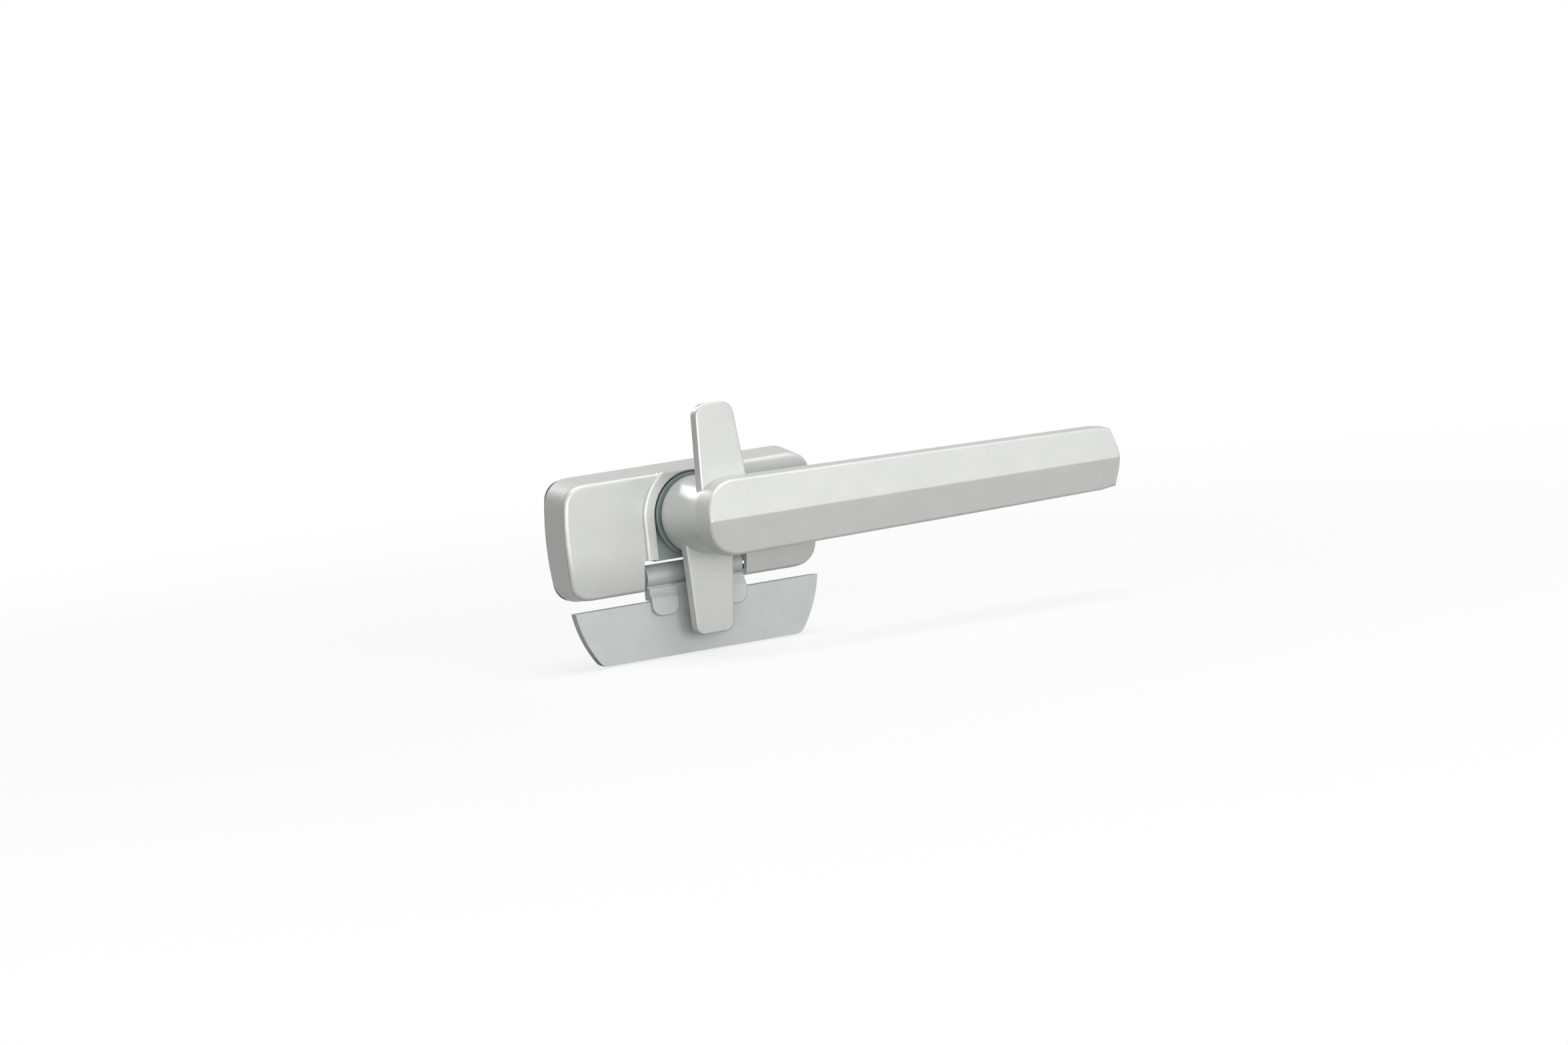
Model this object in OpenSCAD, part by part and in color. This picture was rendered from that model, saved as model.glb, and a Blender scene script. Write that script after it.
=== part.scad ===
// Window fastener: a lever handle on a covered base, with one tongue that closes the
// window and a second, raised tongue that holds it ajar, and the keeper that they press on.
// Shapes are drawn flat, x across and y up, with z as the height above the mounting
// face, and are then stood upright so that the fastener faces -Y with +Z up.
// The origin is on the hub axis, in the mounting face.

/* [Base cover] */
// Half the width of the cover at its rim
cover_half_w = 37; // [35.5:0.1:40]
// Height of the cover's rim above the hub axis
cover_top = 12.9; // [12.6:0.1:15]
// Depth of the cover's rim below the hub axis
cover_bottom = 18.2; // [17.5:0.1:19]
// Height of the cover's flat face above the mounting face
cover_depth = 9.6; // [9:0.1:11]
// Wall thickness of the cover
cover_wall = 1.5; // [1.2:0.1:1.8]
// Radius of the cover's convex ends
cover_end_r = 78; // [70:1:120]
// Corner radius of the cover's outline
cover_corner_r = 5.5; // [3:0.1:7]
// How far each end wall slopes in from rim to face
end_draft = 1.1; // [0.6:0.1:1.6]
// How far the top wall slopes in from rim to face
top_draft = 1.7; // [0.8:0.1:2.2]
// How far the bottom wall slopes in from rim to face
bottom_draft = 0.5; // [0.2:0.1:1]
// Size of the rounding along the edge of the face
face_edge = 0.9; // [0.5:0.1:1.2]
// Radius of the face's curve back towards the bottom edge
crown_r = 40; // [36:1:80]
// Distance below the hub axis where that curve starts
crown_from = 6; // [5:0.1:9]
// Width of the raised lip around the hub opening
lip_w = 3.1; // [2.5:0.1:3.6]
// Height of that lip above the face
lip_h = 1; // [0.6:0.1:1.3]
// Room between the notch's sides and the guide block
notch_room = 1; // [0.7:0.1:1.8]
// Distance of the notch's top edge below the hub axis
notch_top = 9.9; // [9.5:0.1:10.5]

/* [Base body] */
// Room between the body's ends and the cover's rim
end_room = 5.5; // [5:0.1:7]
// Room between the body's top and the cover's rim
top_room = 2.9; // [2.8:0.1:3.2]
// Room between the body's two legs and the cover's rim
leg_room = 3.4; // [3.2:0.1:5]
// Thickness of the body's plate
body_t = 5.5; // [5.2:0.1:6]
// Height of the round collar above the body's boss
collar_h = 1.6; // [1.2:0.1:2]
// Thickness of the seal under the cover's rim
seal_t = 0.8; // [0.5:0.1:1]
// Width of the seal's strip
seal_w = 2.2; // [1.6:0.1:2.4]
// Distance between the two mounting screws
screw_spacing = 46; // [42:0.5:50]
// Shank radius of a mounting screw
screw_r = 2.5; // [2:0.1:2.6]
// Head radius of a mounting screw
screw_head_r = 4.6; // [4.2:0.1:5]
// How far a mounting screw stands out behind the base
screw_reach = 14; // [8:1:30]

/* [Pivot] */
// Radius of the spindle's journal
journal_r = 5; // [4.5:0.1:5.2]
// Radius of the spindle's thin end
tail_r = 3.5; // [3.3:0.1:3.8]
// Running clearance around the journal
run_gap = 0.05; // [0.03:0.01:0.08]
// Wall thickness of the pivot bush
bush_wall = 0.8; // [0.6:0.1:0.9]
// Outer radius of the zinc-plated thrust ring
ring_r = 10.6; // [10.3:0.1:10.8]
// Thickness of the thrust ring
ring_t = 1; // [0.8:0.1:1.4]
// Thickness of the dark washer between ring and hub
glide_t = 0.6; // [0.4:0.1:0.8]
// Depth of the pocket in the back of the base
pocket_d = 4.4; // [4.3:0.1:4.8]
// Radius of the stop disc
disc_r = 8.6; // [8.4:0.1:8.8]
// Thickness of the stop disc
disc_t = 1.2; // [1:0.1:1.3]
// Radius of the circle that the stop pin stands on
stop_circle_r = 7; // [6.9:0.1:7.1]
// Radius of the stop pin
stop_pin_r = 0.9; // [0.7:0.1:0.9]

/* [Handle] */
// Angle that the lever turns from closed to ajar
turn_angle = 180; // [90:5:180]
// Radius of the hub at its base
hub_r = 9.9; // [9.7:0.1:10.2]
// Radius of the hub at its waist
waist_r = 9.4; // [9:0.1:9.6]
// Distance from the hub axis to the lever's tip
lever_len = 110.6; // [90:0.2:130]
// Half the lever's width at the hub
lever_half_w = 9.9; // [9.6:0.1:10.4]
// Half the lever's width at the tip
tip_half_w = 8.3; // [7:0.1:9]
// Thickness of the lever at its ridge
lever_t = 8.6; // [7.5:0.1:10]
// Height of the ridge above the long front edges
ridge_h = 3; // [2:0.1:3.5]
// Tilt of the lever away from the window
lever_tilt = 1.4; // [0:0.1:3]
// Length of a tongue from the hub axis: the closing one
closing_len = 29.8; // [28.5:0.1:31]
// Length of the ajar tongue from the hub axis
ajar_len = 28.3; // [27.5:0.1:30]
// Half the width of a tongue near the hub
tongue_root_w = 6.9; // [6.4:0.1:7.4]
// Half the width of a tongue at its tip
tongue_tip_w = 5.2; // [4.8:0.1:5.6]
// Thickness of a tongue
tongue_t = 3; // [2.6:0.1:3.4]
// Lean of each tongue towards the window
tongue_lean = 4; // [2:0.5:5]
// Height of the closing tongue's back above the hub's base
tongue_lift = 3.4; // [3:0.1:5]
// How much higher the ajar tongue stands
ajar_step = 10.7; // [10.2:0.1:12]
// Radius of a pad's head
pad_r = 2.2; // [1.8:0.1:2.4]
// Thickness of a pad's head
pad_t = 0.9; // [0.6:0.1:1.2]

/* [Keeper] */
// Height of the window frame's face above the sash's face
frame_step = 5; // [4.4:0.1:5.4]
// Thickness of the packer behind the keeper
packer_t = 0.9; // [0.5:0.1:1.5]
// Thickness of the keeper plate
keeper_t = 2.4; // [2:0.1:3]
// Half the width of the keeper's top edge
keeper_half_w = 35; // [33:0.5:37]
// Distance of the keeper's top edge below the hub axis
keeper_top = 20.4; // [19.4:0.1:21]
// Height of the keeper plate
keeper_h = 14.2; // [13.5:0.1:16]
// Radius of the keeper's convex ends
keeper_end_r = 30; // [26:1:40]
// Corner radius at the keeper's bottom
keeper_corner_r = 3; // [2:0.1:4]
// Half the width of the guide block
block_half_w = 13.7; // [12.8:0.1:14]
// Half the width of the channel between the block's lugs
channel_half_w = 6; // [5.5:0.1:6.5]
// Height of the lugs above the keeper plate
lug_h = 1.3; // [0.9:0.1:1.5]
// How far the lugs reach below the keeper's top edge
lug_drop = 3.8; // [3.4:0.1:4.2]
// Gap between the cover's notch and the top of the block
block_gap = 1.7; // [1.5:0.1:2.5]
// Radius of the block's rounded ridge
ridge_r = 2.8; // [2.4:0.1:3]
// Distance between the keeper's two studs
stud_spacing = 40; // [36:1:50]
// Shank radius of a keeper stud
stud_r = 2; // [1.5:0.1:2.2]
// How far a keeper stud stands out behind the packer
stud_reach = 9; // [6:1:20]

/* [Hidden] */
$fn = 96;
eps = 0.01;
// Clearances: between fixed neighbours, between moving ones, and inside a pushed-in fit
seat_gap = 0.3;
move_gap = 0.2;
slip = 0.02;
// Heights of the stack on the hub axis
boss_z = cover_depth - 1.6;
notch_half_w = block_half_w + notch_room;
collar_z = boss_z + collar_h;
ring_z = collar_z + ring_t;
glide_z = ring_z + 0.1 + glide_t;
hub_z = glide_z + move_gap;
body_half_w = cover_half_w - end_room;
body_top = cover_top - top_room;
body_leg = cover_bottom - leg_room;
leg_gap = 3.3;
boss_drop = 0.7;
bolt_room = 0.3;
opening_r = ring_r + 0.4;
lip_top = cover_top - top_draft + 0.3;
collar_r = ring_r - 0.4;
bush_r = journal_r + run_gap + bush_wall;
boss_half_w = opening_r - seat_gap;
// Heights of the stack in the back pocket
washer_t = 0.5;
spring_t = 0.9;
clip_t = 0.8;
groove_r = tail_r - 0.8;
washer_z = pocket_d - washer_t;
spring_z = washer_z - 0.1 - spring_t;
disc_z = spring_z - disc_t;
clip_z = disc_z - 0.05 - clip_t;
tail_z = 0.3;
washer_r = stop_circle_r - stop_pin_r - move_gap;
pocket_r = disc_r + 0.4;
flat_half_w = tail_r - 0.6;
slot_half_w = stop_pin_r + 0.15;
pin_seat_d = 2.6;
// Heights of the handle
journal_depth = 12.5;
closing_z = hub_z + tongue_lift;
ajar_z = closing_z + ajar_step;
lever_z = ajar_z + 0.55 * tongue_t;
waist_z = closing_z + tongue_t + 2;
lever_draft = 0.13;
back_round = 1.6;
tip_peak = 1.35;
tip_chamfer_len = 5;
tip_chamfer_drop = 0.5;
tip_draft = 0.6 * lever_draft;
pin_r = 1.25;
pin_z = closing_z + tongue_t + 3;
pin_stop = journal_r + 0.8;
// Keeper levels
packer_z = frame_step;
keeper_back = packer_z + packer_t;
keeper_face = keeper_back + keeper_t;
lug_face = keeper_face + lug_h;
web_face = lug_face - 0.7;
keeper_bottom = keeper_top + keeper_h;
block_top = notch_top + block_gap;
ridge_y = block_top + ridge_r;
ridge_z = keeper_face - ridge_r + 0.1;
crease_y = ridge_y + 0.75 * ridge_r;
web_bottom = keeper_top + lug_drop - 1;
lug_bottom = keeper_top + lug_drop;
lug_r = 2.8;
facet_drop = 2.9;
facet_rise = 1.8;
rivet_r = 1.5;
rivet_head_r = 2.3;
rivet_grip = 0.8;
rivet_x = (block_half_w + channel_half_w) / 2;
rivet_y = keeper_top + 1.8;
stud_y = (keeper_top + keeper_bottom) / 2 + 1;
stud_head_r = stud_r + 1.3;
stud_head_t = 0.9;
// Pads
pad_radius = keeper_top + 1.6;
pad_gap = 0.35;
pad_z = lug_face + pad_gap;
pad_stem_r = 1.4;
pad_stem = 3.2;
boss_r = pad_r + 0.25;
// Screws and studs: a slightly thicker shoulder where each passes through its plate
screw_cone_h = screw_head_r - screw_r;
screw_sink = 0.2;
cone_z = body_t - screw_cone_h - screw_sink;
shoulder_w = 0.2;
shoulder_out = 0.12;
// Cover clips
clip_w = 6;
clip_sheet = 0.5;
clip_lap = 4;

// Stands a flat drawing upright, its z pointing out of the window's face
module facing() {
    rotate([90, 0, 0]) children();
}

// Puts a copy on the left of what stands on the right
module both_sides() {
    children();
    mirror([1, 0, 0]) children();
}

// Flat ring from radius a to radius b
module ring2d(a, b) {
    difference() {
        circle(b);
        circle(a);
    }
}

// Disc or washer of height h at height z
module washer(z, a, b, h) {
    translate([0, 0, z]) linear_extrude(h) ring2d(a, b);
}

// Outline of the cover, drawn in by the same distance all round
module cover_outline(inset, draft) {
    half_w = cover_half_w - inset - end_draft * draft;
    top = cover_top - inset - top_draft * draft;
    bottom = cover_bottom - inset - bottom_draft * draft;
    r = max(cover_corner_r - inset, 1);
    centre_y = (top - bottom) / 2;
    offset(r = r, $fn = 48) offset(delta = -r) intersection() {
        translate([-half_w, -bottom]) square([2 * half_w, top + bottom]);
        translate([half_w - cover_end_r, centre_y]) circle(cover_end_r, $fn = 360);
        translate([cover_end_r - half_w, centre_y]) circle(cover_end_r, $fn = 360);
    }
}

// Thin slab of that outline at height z, for the loft between rim and face
module cover_slab(z, inset) {
    translate([0, 0, z]) linear_extrude(eps) cover_outline(inset, (z - seal_t) / (cover_depth - seal_t));
}

// Side view of the face, drawn in by inset: level, curving back, with a chamfer along the bottom edge
module crown2d(inset) {
    z = cover_depth - inset;
    r = crown_r - inset;
    reach = cover_bottom - bottom_draft - face_edge - crown_from;
    angle = asin(reach / r);
    steps = 16;
    low_z = z - r * (1 - cos(angle));
    polygon(concat(
        [[cover_top + 1, z], [cover_top + 1, -1], [-crown_from - reach - low_z - 1, -1]],
        [for (i = [steps:-1:0]) let (a = angle * i / steps) [-crown_from - r * sin(a), z - r * (1 - cos(a))]]
    ));
}

// Long bar with that side view
module crown_bar(inset) {
    rotate([90, 0, 90]) linear_extrude(2 * cover_half_w + 2, center = true) crown2d(inset);
}

// Opening around the hub, open towards the notch
module hub_opening2d(r) {
    circle(r);
    translate([-r, -notch_top]) square([2 * r, notch_top]);
}

// Notch in the bottom edge
module notch2d(half_w) {
    translate([-half_w, -cover_bottom - 1]) square([2 * half_w, cover_bottom + 1 - notch_top]);
}

// Raised lip, an arch that ends at the notch
module lip2d() {
    intersection() {
        difference() {
            hub_opening2d(opening_r + lip_w);
            hub_opening2d(opening_r);
        }
        translate([-cover_half_w, -notch_top]) square([2 * cover_half_w, notch_top + lip_top]);
    }
}

// Die-cast cover, a shell with sloping walls
module cover() {
    face_z = cover_depth;
    color("gainsboro") facing() difference() {
        union() {
            difference() {
                intersection() {
                    hull() {
                        cover_slab(seal_t, 0);
                        cover_slab(face_z - 1.3 * face_edge, 0);
                        cover_slab(face_z - 0.45 * face_edge, 0.3 * face_edge);
                        cover_slab(face_z - eps, face_edge);
                    }
                    crown_bar(0);
                }
                intersection() {
                    hull() {
                        translate([0, 0, -eps]) cover_slab(seal_t, cover_wall);
                        cover_slab(face_z - cover_wall - 0.4, cover_wall);
                        cover_slab(face_z - cover_wall, cover_wall + 0.6);
                    }
                    crown_bar(cover_wall);
                }
            }
            translate([0, 0, face_z - cover_wall]) linear_extrude(cover_wall + lip_h) lip2d();
        }
        translate([0, 0, -1]) linear_extrude(cover_depth + lip_h + 2) {
            hub_opening2d(opening_r);
            notch2d(notch_half_w);
        }
    }
}

// Height of the cover's inner end wall line at height z
function cover_inner_x(z) =
    cover_half_w - cover_wall - end_draft * (z - seal_t) / (cover_depth - seal_t);

// Two spring-steel clips between the ends of the body and the cover's end walls
module cover_clips() {
    clip_x = body_half_w + 0.1;
    barb_z = 2.6;
    barb_x = cover_inner_x(barb_z) - 0.8;
    color("silver") facing() both_sides()
        translate([0, clip_w / 2, 0]) rotate([90, 0, 0]) linear_extrude(clip_w) polygon([
            [clip_x - clip_lap, body_t + 0.1],
            [clip_x - clip_lap, body_t + 0.1 + clip_sheet],
            [clip_x + clip_sheet, body_t + 0.1 + clip_sheet],
            [barb_x, barb_z],
            [clip_x + clip_sheet, 1.4],
            [clip_x + clip_sheet, seal_t + 0.1],
            [clip_x, seal_t + 0.1],
            [clip_x, 1.5],
            [barb_x - clip_sheet, barb_z],
            [clip_x, body_t + 0.1]
        ]);
}

// Outline of the cast body, with a gap for the notch
module body_outline() {
    inner_w = notch_half_w + leg_gap;
    translate([-body_half_w, -notch_top]) square([2 * body_half_w, notch_top + body_top]);
    both_sides() translate([inner_w, -body_leg]) square([body_half_w - inner_w, body_leg + 1]);
}

// Boss of the body that shows inside the hub opening and reaches a little below the notch's top edge
module boss2d() {
    low = notch_top + boss_drop;
    intersection() {
        union() {
            circle(boss_half_w);
            translate([-boss_half_w, -low]) square([2 * boss_half_w, low]);
        }
        translate([-boss_half_w, -low]) square([2 * boss_half_w, low + body_top]);
    }
}

// Die-cast body that carries the pivot and takes the mounting screws
module base_body() {
    color("darkgray") facing() difference() {
        union() {
            linear_extrude(body_t) body_outline();
            linear_extrude(boss_z) boss2d();
            cylinder(r = collar_r, h = collar_z);
        }
        translate([0, 0, -1]) cylinder(r = pocket_r, h = pocket_d + 1);
        translate([0, 0, -1]) cylinder(r = bush_r + slip, h = collar_z + 2);
        translate([0, stop_circle_r, 0]) cylinder(r = stop_pin_r + slip, h = pocket_d + pin_seat_d, $fn = 48);
        both_sides() translate([screw_spacing / 2, 0, 0]) {
            translate([0, 0, -1]) cylinder(r = screw_r + bolt_room, h = body_t + 2);
            translate([0, 0, cone_z]) cylinder(r1 = screw_r + bolt_room,
                r2 = screw_head_r + bolt_room, h = screw_cone_h);
            translate([0, 0, cone_z + screw_cone_h - eps]) cylinder(r = screw_head_r + bolt_room, h = 1);
        }
        // Chamfer-like relief above the clips
        both_sides() translate([body_half_w - clip_lap - 0.3, -clip_w / 2 - 0.3, body_t - eps])
            cube([clip_lap + 1, clip_w + 0.6, 1]);
    }
}

// Black seal strip under the cover's rim, open at the notch
module rim_seal() {
    color("black") facing() linear_extrude(seal_t) difference() {
        cover_outline(0.35, 0);
        cover_outline(0.35 + seal_w, 0);
        notch2d(notch_half_w);
    }
}

// Two countersunk screws that hold the base to the sash
module base_screws() {
    color("silver") facing() both_sides() translate([screw_spacing / 2, 0, 0]) difference() {
        union() {
            translate([0, 0, -screw_reach]) cylinder(r = screw_r, h = screw_reach);
            translate([0, 0, -shoulder_out]) cylinder(r = screw_r + shoulder_w, h = cone_z + shoulder_out);
            translate([0, 0, cone_z]) cylinder(r1 = screw_r + shoulder_w, r2 = screw_head_r, h = screw_cone_h);
        }
        for (turn = [0, 90]) {
            rotate([0, 0, turn]) translate([-screw_head_r / 2, -0.45, body_t - 1.6]) cube([screw_head_r, 0.9, 2]);
        }
    }
}

// Acetal bush pressed into the body
module pivot_bush() {
    color("ivory") facing() washer(pocket_d, journal_r + run_gap, bush_r, collar_z - pocket_d);
}

// Zinc-plated ring that shows around the foot of the hub
module thrust_ring() {
    color("lightslategray") facing() washer(collar_z, journal_r + 0.4, ring_r, ring_t);
}

// Dark washer between the ring and the hub
module glide_washer() {
    color("dimgray") facing() washer(ring_z + 0.05, journal_r + 0.15, hub_r - 0.5, glide_t);
}

// Hardened pin that ends the lever's travel at both ends
module stop_pin() {
    color("silver") facing() translate([0, stop_circle_r, disc_z - 0.3])
        cylinder(r = stop_pin_r, h = pocket_d + pin_seat_d - disc_z + 0.3 - slip, $fn = 48);
}

// Slippery washer on the floor of the back pocket
module pressure_washer() {
    color("ivory") facing() washer(washer_z, tail_r + 0.15, washer_r, washer_t);
}

// Outline of a tongue, pointing up, with round corners at its tip
module tongue2d(len, corner_r) {
    root_y = waist_r / 2;
    slope = atan((tongue_root_w - tongue_tip_w) / (len - root_y));
    corner_y = len - corner_r;
    corner_x = tongue_tip_w + corner_r * tan(slope) - corner_r / cos(slope);
    side_x = corner_x + corner_r * cos(slope);
    side_y = corner_y + corner_r * sin(slope);
    polygon([
        [tongue_root_w, root_y], [side_x, side_y], [corner_x, len],
        [-corner_x, len], [-side_x, side_y], [-tongue_root_w, root_y]
    ]);
    both_sides() translate([corner_x, corner_y]) circle(corner_r, $fn = 64);
}

// Tongue with its back at height z on the hub axis, leaning to the window at its tip
module tongue(len, corner_r, z) {
    translate([0, 0, z]) rotate([-tongue_lean, 0, 0]) linear_extrude(tongue_t) tongue2d(len, corner_r);
}

// Cast nose behind a tongue, drilled for the pad
module nose(z) {
    foot = z + pad_t;
    root = z + closing_z - pad_z;
    translate([0, pad_radius, foot]) cylinder(r1 = boss_r, r2 = boss_r + 0.3, h = root - foot);
}

// Blind hole for the pad's stem
module nose_bore(z) {
    translate([0, pad_radius, z]) cylinder(r = pad_stem_r + slip, h = pad_t + pad_stem + 0.2, $fn = 48);
}

// Round section of the lever's hub end, drawn in towards the front
module lever_root(z, inset) {
    r = lever_half_w - inset - lever_draft * max(z - back_round, 0);
    translate([0, 0, z]) cylinder(r = r, h = eps, $fn = 96);
}

// End section of the lever, a blunt point with chamfered corners
module lever_tip(z, inset) {
    half_w = tip_half_w - inset - tip_draft * max(z - back_round, 0);
    reach = lever_len - 0.8 * inset;
    translate([0, 0, z]) linear_extrude(eps) polygon([
        [reach - tip_chamfer_len, half_w], [reach - tip_peak, half_w - tip_chamfer_drop], [reach, 0],
        [reach - tip_peak, tip_chamfer_drop - half_w], [reach - tip_chamfer_len, -half_w]
    ]);
}

// Long lever with two front facets that meet in a ridge
module lever_bar() {
    top = lever_t + 0.5;
    wide = 2 * lever_half_w;
    slope = ridge_h / lever_half_w;
    translate([0, 0, lever_z]) rotate([0, -lever_tilt, 0]) intersection() {
        hull() {
            lever_root(0, back_round);
            lever_root(back_round, 0);
            lever_root(top, 0);
            lever_tip(0, back_round);
            lever_tip(back_round, 0);
            lever_tip(top, 0);
        }
        translate([-wide, 0, 0]) rotate([90, 0, 90]) linear_extrude(lever_len + 2 * wide) polygon([
            [0, lever_t], [-wide, lever_t - wide * slope], [-wide, -1], [wide, -1], [wide, lever_t - wide * slope]
        ]);
    }
}

// Hub that carries the lever and both tongues
module hub() {
    shoulder_z = lever_z + back_round;
    rotate_extrude() polygon([
        [0, hub_z], [hub_r - 0.4, hub_z], [hub_r, hub_z + 0.4], [waist_r + 0.2, closing_z + tongue_t / 2],
        [waist_r, waist_z], [waist_r, ajar_z - 1], [waist_r + 0.15, ajar_z + 1],
        [lever_half_w - 0.15, shoulder_z], [lever_half_w - 1.2, shoulder_z + 2], [0, shoulder_z + 2]
    ]);
}

// Blind bore for the cross pin, open at the hub's underside
module pin_bore() {
    translate([0, pin_stop, pin_z]) rotate([90, 0, 0])
        cylinder(r = pin_r + slip, h = pin_stop + 2 * waist_r, $fn = 48);
}

// Handle: one die casting with the lever, the hub and the two tongues
module lever_handle() {
    color("gainsboro") facing() difference() {
        union() {
            hub();
            lever_bar();
            rotate([0, 0, 180]) {
                tongue(closing_len, 2.2, closing_z);
                nose(pad_z);
            }
            tongue(ajar_len, 3, ajar_z);
            nose(pad_z + ajar_step);
        }
        translate([0, 0, hub_z - 1]) cylinder(r = journal_r + slip, h = journal_depth + 1);
        rotate([0, 0, 180]) nose_bore(pad_z);
        nose_bore(pad_z + ajar_step);
        pin_bore();
    }
}

// Steel spindle: journal, thin tail with two flats, and a groove for the circlip
module spindle() {
    tail_top = washer_z + washer_t + 0.05;
    color("silver") facing() difference() {
        rotate_extrude() polygon([
            [0, tail_z], [tail_r - 0.2, tail_z], [tail_r, tail_z + 0.2], [tail_r, clip_z - 0.03],
            [groove_r, clip_z - 0.03], [groove_r, clip_z + clip_t + 0.03], [tail_r, clip_z + clip_t + 0.03],
            [tail_r, tail_top], [journal_r, tail_top], [journal_r, hub_z + journal_depth - 0.7],
            [journal_r - 0.5, hub_z + journal_depth - 0.2], [0, hub_z + journal_depth - 0.2]
        ]);
        both_sides() translate([flat_half_w, -tail_r, clip_z + clip_t + 0.03])
            cube([tail_r, 2 * tail_r, disc_z + disc_t - clip_z - clip_t]);
        pin_bore();
    }
}

// Grooved pin, driven in from the hub's underside, that locks hub and spindle
module cross_pin() {
    color("dimgray") facing() translate([0, pin_stop - slip, pin_z]) rotate([90, 0, 0])
        cylinder(r = pin_r, h = pin_stop - slip + waist_r - 0.4, $fn = 48);
}

// Acetal button under a tongue's nose
module pad(z) {
    translate([0, pad_radius, z]) cylinder(r = pad_r, h = pad_t - slip);
    translate([0, pad_radius, z + pad_t / 2]) cylinder(r = pad_stem_r, h = pad_t / 2 + pad_stem, $fn = 48);
}

// The two buttons, one for each tongue
module tongue_pads() {
    color("dimgray") facing() {
        rotate([0, 0, 180]) pad(pad_z);
        pad(pad_z + ajar_step);
    }
}

// Slot that the stop pin runs in, swept from its place at rest
module stop_slot2d() {
    intersection() {
        ring2d(stop_circle_r - slot_half_w, stop_circle_r + slot_half_w);
        if (turn_angle > 179) {
            translate([0, -pocket_r]) square([pocket_r, 2 * pocket_r]);
        } else {
            polygon([
                [0, 0], [0, 2 * pocket_r], [2 * pocket_r, 2 * pocket_r],
                [2 * pocket_r, 2 * pocket_r * cos(max(turn_angle, 91))],
                [2 * pocket_r * sin(turn_angle), 2 * pocket_r * cos(turn_angle)]
            ]);
        }
    }
    for (a = [0, -turn_angle]) {
        rotate([0, 0, a]) translate([0, stop_circle_r]) circle(slot_half_w, $fn = 48);
    }
}

// Disc keyed on the spindle's flats, whose slot limits the turn
module stop_disc() {
    color("silver") facing() translate([0, 0, disc_z]) linear_extrude(disc_t - slip) difference() {
        circle(disc_r);
        intersection() {
            circle(tail_r + 0.05);
            square([2 * flat_half_w + 0.1, 3 * tail_r], center = true);
        }
        stop_slot2d();
    }
}

// Spring washer with three waves, which gives the lever its drag
module wave_spring() {
    waves = 3;
    steps = 72;
    sheet = 0.35;
    swing = (spring_t - sheet - 0.02) / 2;
    inner = tail_r + 0.2;
    outer = washer_r - 0.2;
    ring_points = [for (i = [0:steps - 1]) let (a = 360 * i / steps, mid = swing * sin(waves * a))
        for (corner = [[inner, -1], [outer, -1], [outer, 1], [inner, 1]])
            [corner[0] * cos(a), corner[0] * sin(a), mid + corner[1] * sheet / 2]];
    ring_faces = [for (i = [0:steps - 1]) for (k = [0:3])
        let (j = (i + 1) % steps, m = (k + 1) % 4)
            each [[4 * i + k, 4 * i + m, 4 * j + m], [4 * i + k, 4 * j + m, 4 * j + k]]];
    color("silver") facing() translate([0, 0, spring_z + spring_t / 2]) polyhedron(ring_points, ring_faces);
}

// Retaining clip in the spindle's groove
module circlip() {
    color("dimgray") facing() translate([0, 0, clip_z]) linear_extrude(clip_t - slip) difference() {
        circle(tail_r + 1.9);
        circle(groove_r + 0.03);
        translate([0, -tail_r]) square([2 * groove_r - 1, 2 * tail_r], center = true);
    }
}

// Wedge between two directions around a corner's centre, outside the corner's circle
module corner_cut(centre, r, from, to) {
    far = 3 * r;
    translate(centre) difference() {
        polygon([[0, 0], [far * cos(from), far * sin(from)],
            [2 * far * cos((from + to) / 2), 2 * far * sin((from + to) / 2)], [far * cos(to), far * sin(to)]]);
        circle(r);
    }
}

// Outline of the keeper: straight top, convex ends that draw in, round bottom corners
module keeper_outline(inset) {
    rise = 4.8;
    arc_r = keeper_end_r - inset;
    centre_x = keeper_half_w - sqrt(keeper_end_r * keeper_end_r - rise * rise);
    centre_y = rise - keeper_top;
    corner_r = keeper_corner_r - inset / 2;
    low = -keeper_bottom + inset;
    corner_y = low + corner_r;
    corner_x = centre_x + sqrt(pow(arc_r - corner_r, 2) - pow(centre_y - corner_y, 2));
    arc_dir = atan2(corner_y - centre_y, corner_x - centre_x);
    difference() {
        intersection() {
            translate([-keeper_half_w - 1, low]) square([2 * keeper_half_w + 2, -keeper_top - inset - low]);
            union() {
                both_sides() translate([centre_x, centre_y]) circle(arc_r, $fn = 180);
                translate([-centre_x, centre_y - arc_r]) square([2 * centre_x, arc_r]);
            }
        }
        both_sides() corner_cut([corner_x, corner_y], corner_r, -90, arc_dir);
    }
}

// Die-cast plate fixed to the window frame
module keeper_plate() {
    color("lightsteelblue") facing() difference() {
        translate([0, 0, keeper_back]) linear_extrude(keeper_t) keeper_outline(0);
        both_sides() {
            translate([stud_spacing / 2, -stud_y, keeper_back - eps]) {
                cylinder(r = stud_head_r + slip, h = stud_head_t + eps, $fn = 64);
            }
            translate([rivet_x, -rivet_y, keeper_back - eps]) {
                cylinder(r = rivet_r + slip, h = keeper_t + 1, $fn = 48);
                cylinder(r1 = rivet_head_r + slip, r2 = rivet_r + slip, h = rivet_head_r - rivet_r, $fn = 48);
            }
        }
    }
}

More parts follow.
